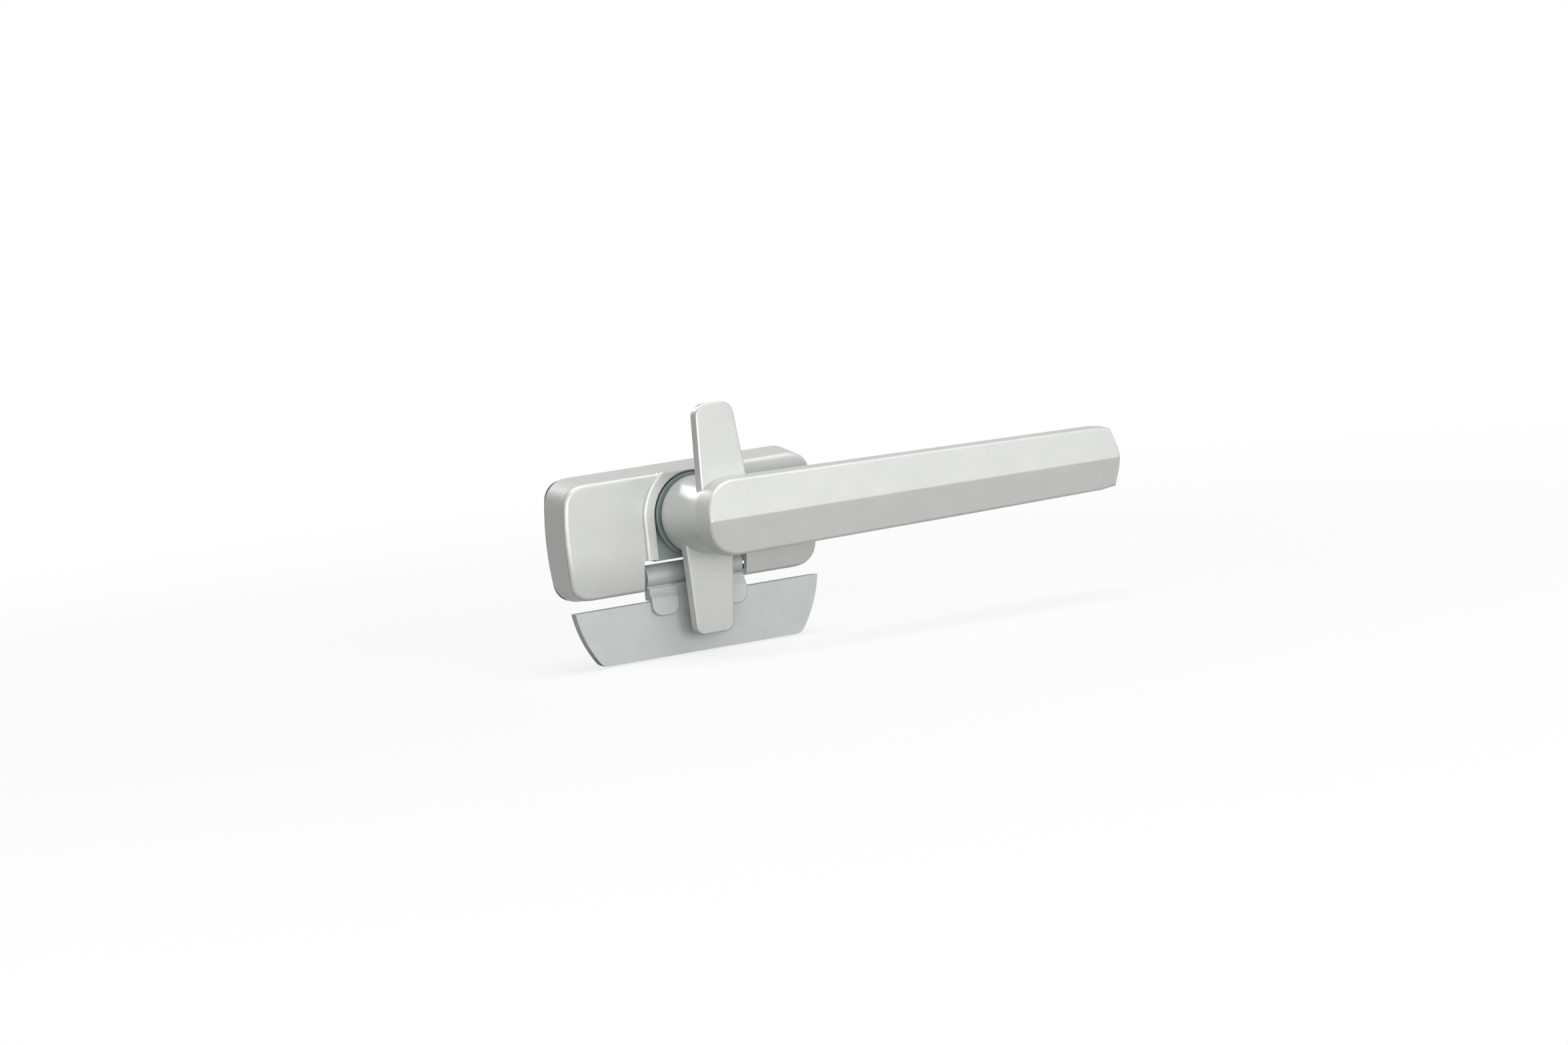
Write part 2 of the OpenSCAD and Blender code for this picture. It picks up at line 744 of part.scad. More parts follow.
// Outline of one lug, with a round lower end
module lug2d() {
    lug_w = block_half_w - channel_half_w;
    translate([channel_half_w, -lug_bottom + lug_r]) square([lug_w, lug_bottom - lug_r - crease_y]);
    translate([channel_half_w + lug_r, -lug_bottom]) square([lug_w - 2 * lug_r, lug_r + 1]);
    for (x = [channel_half_w + lug_r, block_half_w - lug_r]) {
        translate([x, -lug_bottom + lug_r]) circle(lug_r, $fn = 64);
    }
}

// Side view of the block between two x places, from the crease down to the plate's top edge
module block_bar(x, w, front_z) {
    translate([x, -keeper_top + seat_gap, keeper_back])
        cube([w, keeper_top - seat_gap - crease_y, front_z - keeper_back]);
}

// Guide block: a rounded ridge that enters the cover's notch, and two lugs over the plate
module guide_block() {
    neck_z = ridge_z + 0.75 * ridge_r;
    lug_w = block_half_w - channel_half_w;
    color("lightsteelblue") facing() difference() {
        union() {
            translate([-block_half_w, -ridge_y, ridge_z]) rotate([0, 90, 0])
                cylinder(r = ridge_r, h = 2 * block_half_w);
            block_bar(-block_half_w, 2 * block_half_w, neck_z);
            block_bar(-channel_half_w, 2 * channel_half_w, web_face);
            // Web and foot that lie on the plate, tied to the bar above its top edge
            translate([-channel_half_w - eps, -web_bottom, keeper_face])
                cube([2 * (channel_half_w + eps), web_bottom - crease_y - 1, web_face - keeper_face]);
            difference() {
                union() {
                    translate([0, 0, keeper_face]) linear_extrude(lug_h) both_sides() lug2d();
                    both_sides() block_bar(channel_half_w, lug_w, lug_face);
                }
                // Sloping upper facet of the lugs
                translate([-block_half_w - 1, -crease_y, lug_face - facet_rise])
                    rotate([-atan(facet_rise / facet_drop), 0, 0]) translate([0, -keeper_top / 2, 0])
                        cube([2 * block_half_w + 2, keeper_top, keeper_top]);
            }
        }
        // Flat back, level with the back of the plate
        translate([-block_half_w - 1, -keeper_top - 1, -eps])
            cube([2 * block_half_w + 2, keeper_top, keeper_back + eps]);
        both_sides() translate([rivet_x, -rivet_y, keeper_face - 1])
            cylinder(r = rivet_r + slip, h = 1 + rivet_grip + slip, $fn = 48);
    }
}

// Rivets that join the guide block to the plate, headed at the back
module block_rivets() {
    color("silver") facing() both_sides() translate([rivet_x, -rivet_y, keeper_back]) {
        cylinder(r = rivet_r, h = keeper_t + rivet_grip - slip, $fn = 48);
        cylinder(r1 = rivet_head_r, r2 = rivet_r, h = rivet_head_r - rivet_r, $fn = 48);
    }
}

// Clinched studs that pass through the window frame
module keeper_studs() {
    color("silver") facing() both_sides() translate([stud_spacing / 2, -stud_y, 0]) {
        translate([0, 0, keeper_back]) cylinder(r = stud_head_r, h = stud_head_t - slip, $fn = 64);
        translate([0, 0, packer_z - stud_reach]) cylinder(r = stud_r, h = stud_reach);
        translate([0, 0, packer_z - shoulder_out]) cylinder(r = stud_r + shoulder_w, h = packer_t + 0.3);
    }
}

// Black packer between the keeper and the frame
module keeper_packer() {
    color("black") facing() translate([0, 0, packer_z]) linear_extrude(packer_t) difference() {
        keeper_outline(1);
        both_sides() translate([stud_spacing / 2, -stud_y]) circle(stud_r + bolt_room);
    }
}

cover();
cover_clips();
base_body();
rim_seal();
base_screws();
pivot_bush();
thrust_ring();
glide_washer();
stop_pin();
pressure_washer();
lever_handle();
spindle();
cross_pin();
tongue_pads();
stop_disc();
wave_spring();
circlip();
keeper_plate();
guide_block();
block_rivets();
keeper_studs();
keeper_packer();
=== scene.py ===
"""Looks of a window fastener: a painted lever handle on its cover, and the bare zinc keeper below it."""

import logging
import math
from collections.abc import Callable, Iterable, Sequence
from dataclasses import dataclass, field, replace
from enum import Enum

import bmesh
import bpy
from bmesh.types import BMEdge, BMVert
from bpy.types import ID, Material, Mesh, Node, NodeSocket, NodeTree, Object
from mathutils import Matrix, Vector


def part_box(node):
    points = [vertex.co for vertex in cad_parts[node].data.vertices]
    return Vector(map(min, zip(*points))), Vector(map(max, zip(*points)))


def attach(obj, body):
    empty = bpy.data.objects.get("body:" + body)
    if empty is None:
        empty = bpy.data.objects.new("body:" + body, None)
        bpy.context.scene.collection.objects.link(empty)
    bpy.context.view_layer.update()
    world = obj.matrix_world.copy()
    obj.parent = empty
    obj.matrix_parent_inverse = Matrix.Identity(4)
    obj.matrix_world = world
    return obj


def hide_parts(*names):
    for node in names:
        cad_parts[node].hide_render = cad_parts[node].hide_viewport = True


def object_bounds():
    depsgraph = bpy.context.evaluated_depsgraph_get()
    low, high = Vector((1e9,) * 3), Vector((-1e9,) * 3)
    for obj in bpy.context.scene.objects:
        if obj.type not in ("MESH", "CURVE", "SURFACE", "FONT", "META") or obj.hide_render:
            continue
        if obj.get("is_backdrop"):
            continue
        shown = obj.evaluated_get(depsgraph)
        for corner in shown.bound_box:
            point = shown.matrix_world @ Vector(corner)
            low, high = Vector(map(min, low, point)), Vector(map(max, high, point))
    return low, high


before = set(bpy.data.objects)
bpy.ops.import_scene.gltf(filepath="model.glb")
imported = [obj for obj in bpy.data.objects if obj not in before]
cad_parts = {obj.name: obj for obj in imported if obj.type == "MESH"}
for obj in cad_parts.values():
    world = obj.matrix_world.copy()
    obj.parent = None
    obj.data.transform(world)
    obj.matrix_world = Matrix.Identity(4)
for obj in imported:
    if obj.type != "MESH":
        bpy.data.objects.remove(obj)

LOG = logging.getLogger("window_fastener")
MM = 0.001
# Turns a flat drawing, z pointing at the viewer, into the upright frame with -Y to the viewer
STAND_UP = Matrix.Rotation(math.radians(90), 4, "X")
SMOOTH_ANGLE = math.radians(32)
FULL_TURN = 360.0
ROUND_STEPS = 96
CORNER_STEPS = 4
# Millimetres within which something lies on a plane, and within which two corners are merged
NEAR = 1e-3
WELD = 2e-4
# A Map Range node's inputs: where the part that is used starts and ends, and what these become
START, END, LOW, HIGH = 1, 2, 3, 4
# A colour Mix node's inputs for the lower and the upper colour, and its output
UNDER, OVER, MIXED = 6, 7, 2
# What may feed an input: a node stands for its first output
Feed = Node | NodeSocket


class Body(Enum):
    """The two bodies that the pieces move with."""

    BASE = "base"
    HANDLE = "handle"


class Cut(Enum):
    """How one blank acts on another."""

    JOIN = "UNION"
    REMOVE = "DIFFERENCE"


def flat_box(node: str) -> tuple[Vector, Vector]:
    """Box of a node in the flat drawing frame, in millimetres.

    Args:
        node: Name of the node.

    Returns:
        Lowest and highest corner: x across, y up, z towards the viewer.
    """
    low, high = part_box(node)
    return Vector((low.x, low.z, -high.y)) / MM, Vector((high.x, high.z, -low.y)) / MM


def only(items: Iterable, kind: type) -> list:
    """Pick the corners or the edges out of what an operator made."""
    return [item for item in items if isinstance(item, kind)]


def put(name: str, data: ID) -> Object:
    """Put a mesh, lamp or camera into the scene as an object of that name."""
    thing = bpy.data.objects.new(name, data)
    bpy.context.scene.collection.objects.link(thing)
    return thing


def sag(radius: float, offset: float) -> float:
    """Give how far an arc falls back at an offset from its middle."""
    return radius - math.sqrt(radius ** 2 - offset ** 2)


class Blank:
    """A mesh being worked in the flat drawing frame, in millimetres."""

    def __init__(self) -> None:
        """Start with nothing."""
        self.bm = bmesh.new()

    def block(self, low: Sequence[float], high: Sequence[float]) -> "Blank":
        """Add a box between two corners.

        Args:
            low: Lowest corner.
            high: Highest corner.

        Returns:
            This blank.
        """
        made = bmesh.ops.create_cube(self.bm, size=1.0)
        low, high = Vector(low), Vector(high)
        bmesh.ops.scale(self.bm, vec=high - low, verts=made["verts"])
        bmesh.ops.translate(self.bm, vec=(low + high) / 2, verts=made["verts"])
        return self

    def drum(self, centre: Sequence[float], foot_r: float, top_r: float, height: float,
             steps: int = ROUND_STEPS) -> "Blank":
        """Add a straight or tapered cylinder that stands on its centre.

        Args:
            centre: Middle of its foot.
            foot_r: Radius at the foot.
            top_r: Radius at the top.
            height: Height along z.
            steps: Sides of the round.

        Returns:
            This blank.
        """
        made = bmesh.ops.create_cone(self.bm, cap_ends=True, segments=steps, radius1=foot_r, radius2=top_r,
                                     depth=height)
        bmesh.ops.translate(self.bm, vec=Vector(centre) + Vector((0, 0, height / 2)), verts=made["verts"])
        return self

    def plate(self, outline: Iterable[tuple[float, float]], low_z: float, high_z: float) -> "Blank":
        """Add a plate with straight sides.

        Args:
            outline: Its corners, in order.
            low_z: Height of its back.
            high_z: Height of its front.

        Returns:
            This blank.
        """
        face = self.bm.faces.new([self.bm.verts.new((x, y, low_z)) for x, y in outline])
        made = bmesh.ops.extrude_face_region(self.bm, geom=[face])
        bmesh.ops.translate(self.bm, vec=(0, 0, high_z - low_z), verts=only(made["geom"], BMVert))
        return self.face_out()

    def lathe(self, profile: Sequence[tuple[float, float]], roundings: Sequence[float] = (),
              angle: float = FULL_TURN, steps: int = ROUND_STEPS) -> "Blank":
        """Start the blank with a shape turned about the z axis.

        Args:
            profile: Closed line of (radius, height) corners.
            roundings: Rounding radius of each corner, none if empty.
            angle: Degrees that the profile sweeps.
            steps: Steps of a full turn.

        Returns:
            This blank.
        """
        bm = self.bm
        corners = [bm.verts.new((radius, 0, height)) for radius, height in profile]
        for index, corner in enumerate(corners):
            bm.edges.new((corner, corners[(index + 1) % len(corners)]))
        for corner, radius in zip(corners, roundings):
            if radius > 0:
                # A vertex bevel's offset runs along the edges, from the corner to where the arc starts
                inside = math.pi - corner.calc_edge_angle(math.pi / 2)
                bmesh.ops.bevel(bm, geom=[corner], offset=radius / math.tan(inside / 2), material=-1,
                                segments=CORNER_STEPS, profile=0.5, affect="VERTICES", offset_type="OFFSET")
        full = angle == FULL_TURN
        if not full:
            bmesh.ops.contextual_create(bm, geom=bm.edges[:])
        bmesh.ops.spin(bm, geom=bm.verts[:] + bm.edges[:] + bm.faces[:], axis=(0, 0, 1), cent=(0, 0, 0),
                       dvec=(0, 0, 0), angle=math.radians(angle), steps=round(steps * angle / FULL_TURN),
                       use_merge=full, use_duplicate=False)
        bmesh.ops.remove_doubles(bm, verts=bm.verts, dist=WELD)
        return self.face_out()

    def take_node(self, node: str) -> "Blank":
        """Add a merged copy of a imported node, with its flat faces made whole.

        Args:
            node: Name of the node.

        Returns:
            This blank.
        """
        self.bm.from_mesh(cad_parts[node].data)
        to_flat = STAND_UP.inverted() @ Matrix.Scale(1 / MM, 4)
        bmesh.ops.transform(self.bm, matrix=to_flat, verts=self.bm.verts)
        bmesh.ops.remove_doubles(self.bm, verts=self.bm.verts, dist=2 * NEAR)
        bmesh.ops.dissolve_degenerate(self.bm, edges=self.bm.edges, dist=NEAR)
        return self.dissolve(0.6).face_out()

    def dissolve(self, degrees: float) -> "Blank":
        """Make one face of neighbours that meet within an angle."""
        bmesh.ops.dissolve_limit(self.bm, angle_limit=math.radians(degrees), verts=self.bm.verts,
                                 edges=self.bm.edges, delimit=set())
        return self

    def face_out(self) -> "Blank":
        """Point every face outwards."""
        bmesh.ops.recalc_face_normals(self.bm, faces=self.bm.faces)
        return self

    def move(self, offset: Sequence[float]) -> "Blank":
        """Shift the whole blank."""
        bmesh.ops.translate(self.bm, vec=Vector(offset), verts=self.bm.verts)
        return self

    def turn(self, degrees: float, axis: str) -> "Blank":
        """Turn the whole blank about an axis through the origin."""
        bmesh.ops.rotate(self.bm, cent=(0, 0, 0), matrix=Matrix.Rotation(math.radians(degrees), 3, axis),
                         verts=self.bm.verts)
        return self

    def slice(self, point: Sequence[float], normal: Sequence[float], drop_above: bool = False) -> "Blank":
        """Cut every face along a plane.

        Args:
            point: A point of the plane.
            normal: Its direction.
            drop_above: Whether what lies on that side goes, and the cut is closed.

        Returns:
            This blank.
        """
        made = bmesh.ops.bisect_plane(self.bm, geom=self.bm.verts[:] + self.bm.edges[:] + self.bm.faces[:],
                                      dist=NEAR, plane_co=Vector(point), plane_no=Vector(normal),
                                      clear_outer=drop_above)
        if drop_above:
            bmesh.ops.edgeloop_fill(self.bm, edges=only(made["geom_cut"], BMEdge))
        return self

    def mould(self, place: Callable[[Vector], Vector]) -> "Blank":
        """Move every corner by a rule.

        Args:
            place: Gives a corner's new place from its old one.

        Returns:
            This blank.
        """
        for vert in self.bm.verts:
            vert.co = place(vert.co.copy())
        return self

    def ease(self, radius: float, chosen: Callable[[Vector, float], bool], steps: int = 3,
             clamp: bool = False) -> "Blank":
        """Round the edges that a rule picks.

        Args:
            radius: Distance from the edge to where the rounding starts.
            chosen: Given an edge's middle and its angle in degrees, whether it is rounded.
            steps: Steps of the rounding.
            clamp: Whether roundings stop where they would meet.

        Returns:
            This blank.
        """
        self.bm.normal_update()
        edges = []
        for edge in self.bm.edges:
            if len(edge.link_faces) == 2:
                middle = (edge.verts[0].co + edge.verts[1].co) / 2
                if chosen(middle, math.degrees(edge.calc_face_angle(0.0))):
                    edges.append(edge)
        bmesh.ops.bevel(self.bm, geom=edges, offset=radius, offset_type="OFFSET", segments=steps, profile=0.5,
                        affect="EDGES", clamp_overlap=clamp, loop_slide=True, material=-1)
        return self

    def combine(self, other: "Blank", cut: Cut) -> "Blank":
        """Join another blank to this one or cut it away.

        Args:
            other: The other blank, which is used up.
            cut: What it does.

        Returns:
            This blank.
        """
        work, tool = (put("scratch", blank.mesh("scratch")) for blank in (self, other))
        modifier = work.modifiers.new("cut", "BOOLEAN")
        modifier.operation = cut.value
        modifier.solver = "EXACT"
        modifier.object = tool
        depsgraph = bpy.context.evaluated_depsgraph_get()
        result = bpy.data.meshes.new_from_object(work.evaluated_get(depsgraph))
        self.bm.clear()
        self.bm.from_mesh(result)
        bmesh.ops.remove_doubles(self.bm, verts=self.bm.verts, dist=WELD)
        for mesh in (work.data, tool.data, result):
            # Removing a mesh removes the scratch object that shows it as well
            bpy.data.meshes.remove(mesh)
        other.bm.free()
        return self

    def mesh(self, name: str) -> Mesh:
        """Give a copy of the blank as a mesh of that name."""
        made = bpy.data.meshes.new(name)
        self.bm.to_mesh(made)
        return made

    def finish(self, name: str, body: Body, finish: "Finish", replaced: Sequence[str]) -> None:
        """Turn the blank into a finished piece in the frame.

        Args:
            name: Name of the piece.
            body: What it moves with.
            finish: Its finish.
            replaced: Nodes that it stands for.
        """
        bmesh.ops.transform(self.bm, matrix=Matrix.Scale(MM, 4) @ STAND_UP, verts=self.bm.verts)
        for face in self.bm.faces:
            face.smooth = True
        mesh = self.mesh(name)
        self.bm.free()
        mesh.set_sharp_from_angle(angle=SMOOTH_ANGLE)
        piece = put(name, mesh)
        shading = piece.modifiers.new("shading", "WEIGHTED_NORMAL")
        shading.keep_sharp = True
        mesh.materials.append(finish.material())
        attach(piece, body.value)
        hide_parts(*replaced)
        LOG.info("%s: %d faces, on %s, %s", name, len(mesh.polygons), body.value, finish.slot)


def linear(hex_colour: str) -> tuple[float, float, float, float]:
    """Turn an sRGB hex value into a linear colour.

    Args:
        hex_colour: Six hex digits after a #.

    Returns:
        Red, green, blue and an alpha of 1.
    """
    shares = (int(hex_colour[at:at + 2], 16) / 255 for at in (1, 3, 5))
    red, green, blue = (s / 12.92 if s <= 0.04045 else ((s + 0.055) / 1.055) ** 2.4 for s in shares)
    return red, green, blue, 1.0


def feed(tree: NodeTree, source: Feed | None, target: NodeSocket) -> None:
    """Link a socket, or a node's first output, to an input; nothing leaves the input its value."""
    if source is not None:
        tree.links.new(source.outputs[0] if isinstance(source, Node) else source, target)


def add_node(tree: NodeTree, kind: str, settings: dict | None = None,
             links: dict[int | str, Feed | None] | None = None) -> Node:
    """Add a shader node with its settings and links.

    Args:
        tree: The material's or world's node tree.
        kind: Type of the node, without the ShaderNode in front.
        settings: Values by input name or number, and properties by name.
        links: What feeds each input, by its name or number.

    Returns:
        The node.
    """
    node = tree.nodes.new("ShaderNode" + kind)
    values = dict(settings or {})
    for key in [key for key in values if isinstance(key, str) and hasattr(node, key)]:
        setattr(node, key, values.pop(key))
    for key, value in values.items():
        node.inputs[key].default_value = value
    for key, source in (links or {}).items():
        feed(tree, source, node.inputs[key])
    return node


@dataclass(frozen=True)
class Grain:
    """A cloudy pattern: width in millimetres, finer layers, scale along each axis and lean in radians."""

    width_mm: float
    detail: float
    scale: tuple[float, float, float] = (1.0, 1.0, 1.0)
    lean: float = 0.0

    def draw(self, tree: NodeTree, place: NodeSocket) -> Node:
        """Add the pattern's nodes, which give values mostly from 0.3 to 0.7."""
        at = add_node(tree, "Mapping", {"Scale": self.scale, "Rotation": (0.0, self.lean, 0.0)},
                      {"Vector": place})
        return add_node(tree, "TexNoise", {"Scale": 1 / (self.width_mm * MM), "Detail": self.detail},
                        {"Vector": at})


@dataclass(frozen=True)
class PinHoles:
    """Scattered holes: millimetres from one to the next."""

    apart_mm: float

    def draw(self, tree: NodeTree, place: NodeSocket) -> Node:
        """Add the pattern's node, which gives 0 in the middle of a hole."""
        return add_node(tree, "TexVoronoi", {"Scale": 1 / (self.apart_mm * MM)}, {"Vector": place})


@dataclass(frozen=True)
class Scratches:
    """Fine wandering lines along one grain's middle values, kept where another grain is high."""

    path: Grain
    patch: Grain

    def draw(self, tree: NodeTree, place: NodeSocket) -> Node:
        """Add the pattern's nodes.

        Args:
            tree: The material's node tree.
            place: Place on the object, in metres.

        Returns:
            A node that gives 1 along the lines.
        """
        off_line = add_node(tree, "MapRange", {START: 0.44, END: 0.56, LOW: -1.0, HIGH: 1.0},
                            {0: self.path.draw(tree, place)})
        off_line = add_node(tree, "Math", {"operation": "ABSOLUTE"}, {0: off_line})
        line = add_node(tree, "MapRange", {START: 0.0, END: 0.07, LOW: 1.0, HIGH: 0.0}, {0: off_line})
        patches = add_node(tree, "MapRange", {START: 0.58, END: 0.68}, {0: self.patch.draw(tree, place)})
        return add_node(tree, "Math", {"operation": "MULTIPLY"}, {0: line, 1: patches})


Pattern = Grain | PinHoles | Scratches


@dataclass(frozen=True)
class Layer:
    """A colour laid over the ones before it, with its share at the start and the end of a pattern's range."""

    pattern: Pattern
    colour: str
    start_share: float
    end_share: float
    start: float = 0.3
    end: float = 0.7


@dataclass(frozen=True)
class Finish:
    """A surface finish, made once as a material and shared by its pieces."""

    name: str
    slot: str
    colour: str
    roughness: float
    metallic: float = 0.0
    gloss: float = 0.0
    gloss_roughness: float = 0.03
    layers: tuple[Layer, ...] = ()
    # Patterns that raise the surface, and by how many millimetres, the finest last
    reliefs: tuple[tuple[Pattern, float], ...] = ()
    # The pattern that the roughness follows, and how far it goes down and up
    uneven: tuple[Pattern, float, float] | None = None

    def material(self) -> Material:
        """Give the material of this finish, making it at the first call.

        Returns:
            The material.
        """
        made = bpy.data.materials.get(self.name)
        if made is None:
            made = bpy.data.materials.new(self.name)
            made.use_nodes = True
            self.draw(made.node_tree)
        return made

    def draw(self, tree: NodeTree) -> None:
        """Set the shader's values and draw the patterns that feed it.

        Args:
            tree: The material's node tree.
        """
        inputs = tree.nodes["Principled BSDF"].inputs
        values = {"Base Color": linear(self.colour), "Roughness": self.roughness, "Metallic": self.metallic,
                  "Coat Weight": self.gloss, "Coat Roughness": self.gloss_roughness}
        for key, value in values.items():
            inputs[key].default_value = value
        place = add_node(tree, "TexCoord").outputs["Object"]
        used = [layer.pattern for layer in self.layers] + [pattern for pattern, _ in self.reliefs]
        used += self.uneven[:1] if self.uneven else ()
        # A pattern that is used more than once is drawn once
        drawn = {pattern: pattern.draw(tree, place) for pattern in dict.fromkeys(used)}
        colour = normal = roughness = None
        for layer in self.layers:
            share = add_node(tree, "MapRange", {START: layer.start, END: layer.end, LOW: layer.start_share,
                                                HIGH: layer.end_share}, {0: drawn[layer.pattern]})
            mixed = add_node(tree, "Mix", {"data_type": "RGBA", UNDER: linear(self.colour),
                                           OVER: linear(layer.colour)}, {0: share, UNDER: colour})
            colour = mixed.outputs[MIXED]
        for pattern, depth_mm in self.reliefs:
            normal = add_node(tree, "Bump", {"Strength": 1.0, "Distance": depth_mm * MM},
                              {"Height": drawn[pattern], "Normal": normal})
        if self.uneven:
            pattern, down, up = self.uneven
            roughness = add_node(tree, "MapRange", {START: 0.3, END: 0.7, LOW: self.roughness - down,
                                                    HIGH: self.roughness + up}, {0: drawn[pattern]})
        feed(tree, colour, inputs["Base Color"])
        feed(tree, roughness, inputs["Roughness"])
        feed(tree, normal, inputs["Normal"])


# Die-cast zinc, sprayed with silver-grey powder and stoved: an even pale grey with a satin sheen. The coat
# melts and flows out, which leaves a low orange peel about a millimetre wide that softens its reflections
PEEL = Grain(1.1, 1.0)
# Real flakes are about 0.05 mm wide; they are drawn coarser so that they show
FLAKES = Grain(0.18, 2.0)
COAT = Finish("satin_powder_coat", "satin_paint", "#D2D3D1", 0.42, 0.32, gloss=0.4, gloss_roughness=0.14,
              layers=(Layer(Grain(9.0, 4.0), "#C5C7C5", 0.0, 0.35),
                      Layer(FLAKES, "#B4B6B3", 0.0, 0.4, 0.52, 0.72),
                      Layer(FLAKES, "#EDEEEC", 0.25, 0.0, 0.28, 0.46)),
              reliefs=((PEEL, 0.010), (FLAKES, 0.004)), uneven=(FLAKES, 0.05, 0.07))
# Zinc as it leaves the die, tumbled but not coated: dull bluish grey, with cloudy marks some millimetres
# wide where the metal cooled as it filled the mould, and a few dark scuffs. The pin holes are dark dots of
# the scuffs' grey: painted shade inside the holes
SCUFF_GREY_AND_HOLE_SHADE = "#7A8280"
SCUFFS = Scratches(Grain(3.0, 1.0, (1.0, 1.0, 0.1), 0.9), Grain(9.0, 1.0))
# The mould's real skin is about 0.1 mm wide; it is drawn coarser so that it shows
MOULD_SKIN = Grain(0.35, 3.0)
ZINC = Finish("bare_cast_zinc", "raw_zinc", "#C3C8C6", 0.5, 0.3,
              layers=(Layer(Grain(8.0, 4.0, (1.0, 1.0, 1.4)), "#AEB6B4", 0.0, 0.3, 0.4, 0.72),
                      Layer(SCUFFS, SCUFF_GREY_AND_HOLE_SHADE, 0.0, 0.5, 0.0, 1.0),
                      # Painted shade: dark dots where the pin holes lie, for the shade inside them
                      Layer(PinHoles(9.0), SCUFF_GREY_AND_HOLE_SHADE, 1.0, 0.0, 0.015, 0.04)),
              reliefs=((MOULD_SKIN, 0.012),), uneven=(MOULD_SKIN, 0.07, 0.08))
# Painted shade: the same casting alloy, drawn a darker, greener grey for the body inside the cover, which
# lies in the shade of the cover and the hub
SHADED_ZINC = replace(ZINC, name="shaded_cast_zinc", colour="#9DA6A3")
# Pressed steel, zinc plated and blue passivated: darker than the castings, with a cool cloudy glint. Its
# crystals are finer than this; they are drawn coarser so that they show
PLATE = Finish("blue_passivated_zinc", "zinc_plate", "#84908F", 0.5, 0.5,
               layers=(Layer(Grain(2.2, 4.0), "#8C9A98", 0.0, 1.0),), reliefs=((Grain(0.25, 2.0), 0.006),))
# Turned free-cutting steel: bright, with streaked highlights across the rings that the tool leaves. The
# rings are as wide as the tool's feed for one turn
STEEL = Finish("turned_bright_steel", "bright_steel", "#B9BBBC", 0.34, 1.0,
               reliefs=((Grain(0.15, 2.0, (0.08, 1.0, 0.08)), 0.004),), uneven=(Grain(1.5, 3.0), 0.08, 0.1))
# Steel blackened in an oil quench: nearly black with a soft grey glint
BLACK_STEEL = replace(STEEL, name="oiled_black_steel", slot="dark_steel", colour="#4A4B4D", roughness=0.42)
# Cold-rolled spring strip: smoother and a little darker than turned steel
SPRING = replace(STEEL, name="rolled_spring_steel", slot="spring_steel", colour="#9EA3A6", roughness=0.3)
# Moulded natural acetal: warm off-white with a waxy sheen and a slight bloom. The mould's spark-eroded skin
# is about 0.1 mm wide; it is drawn coarser so that it shows
BLOOM = Grain(3.0, 3.0)
WHITE_ACETAL = Finish("natural_acetal", "white_acetal", "#E4E3DC", 0.4,
                      layers=(Layer(BLOOM, "#C9C8C0", 0.0, 0.18),), reliefs=((Grain(0.3, 2.0), 0.008),))
# Moulded acetal coloured dark grey: slippery and half matt
DARK_ACETAL = replace(WHITE_ACETAL, name="dark_acetal", slot="dark_acetal", colour="#3A3D3F", roughness=0.45,
                      layers=(Layer(BLOOM, "#55595A", 0.0, 0.18),))
# Moulded seal rubber: dull and almost black, with a faint grey bloom. On the rim seal it is partly a real
# seal and partly painted shade: its black draws the dark contact line along the cover's rim
RUBBER = replace(WHITE_ACETAL, name="seal_rubber", slot="seal_rubber", colour="#17181A", roughness=0.75,
                 layers=(Layer(BLOOM, "#2B2D2F", 0.0, 0.18),))


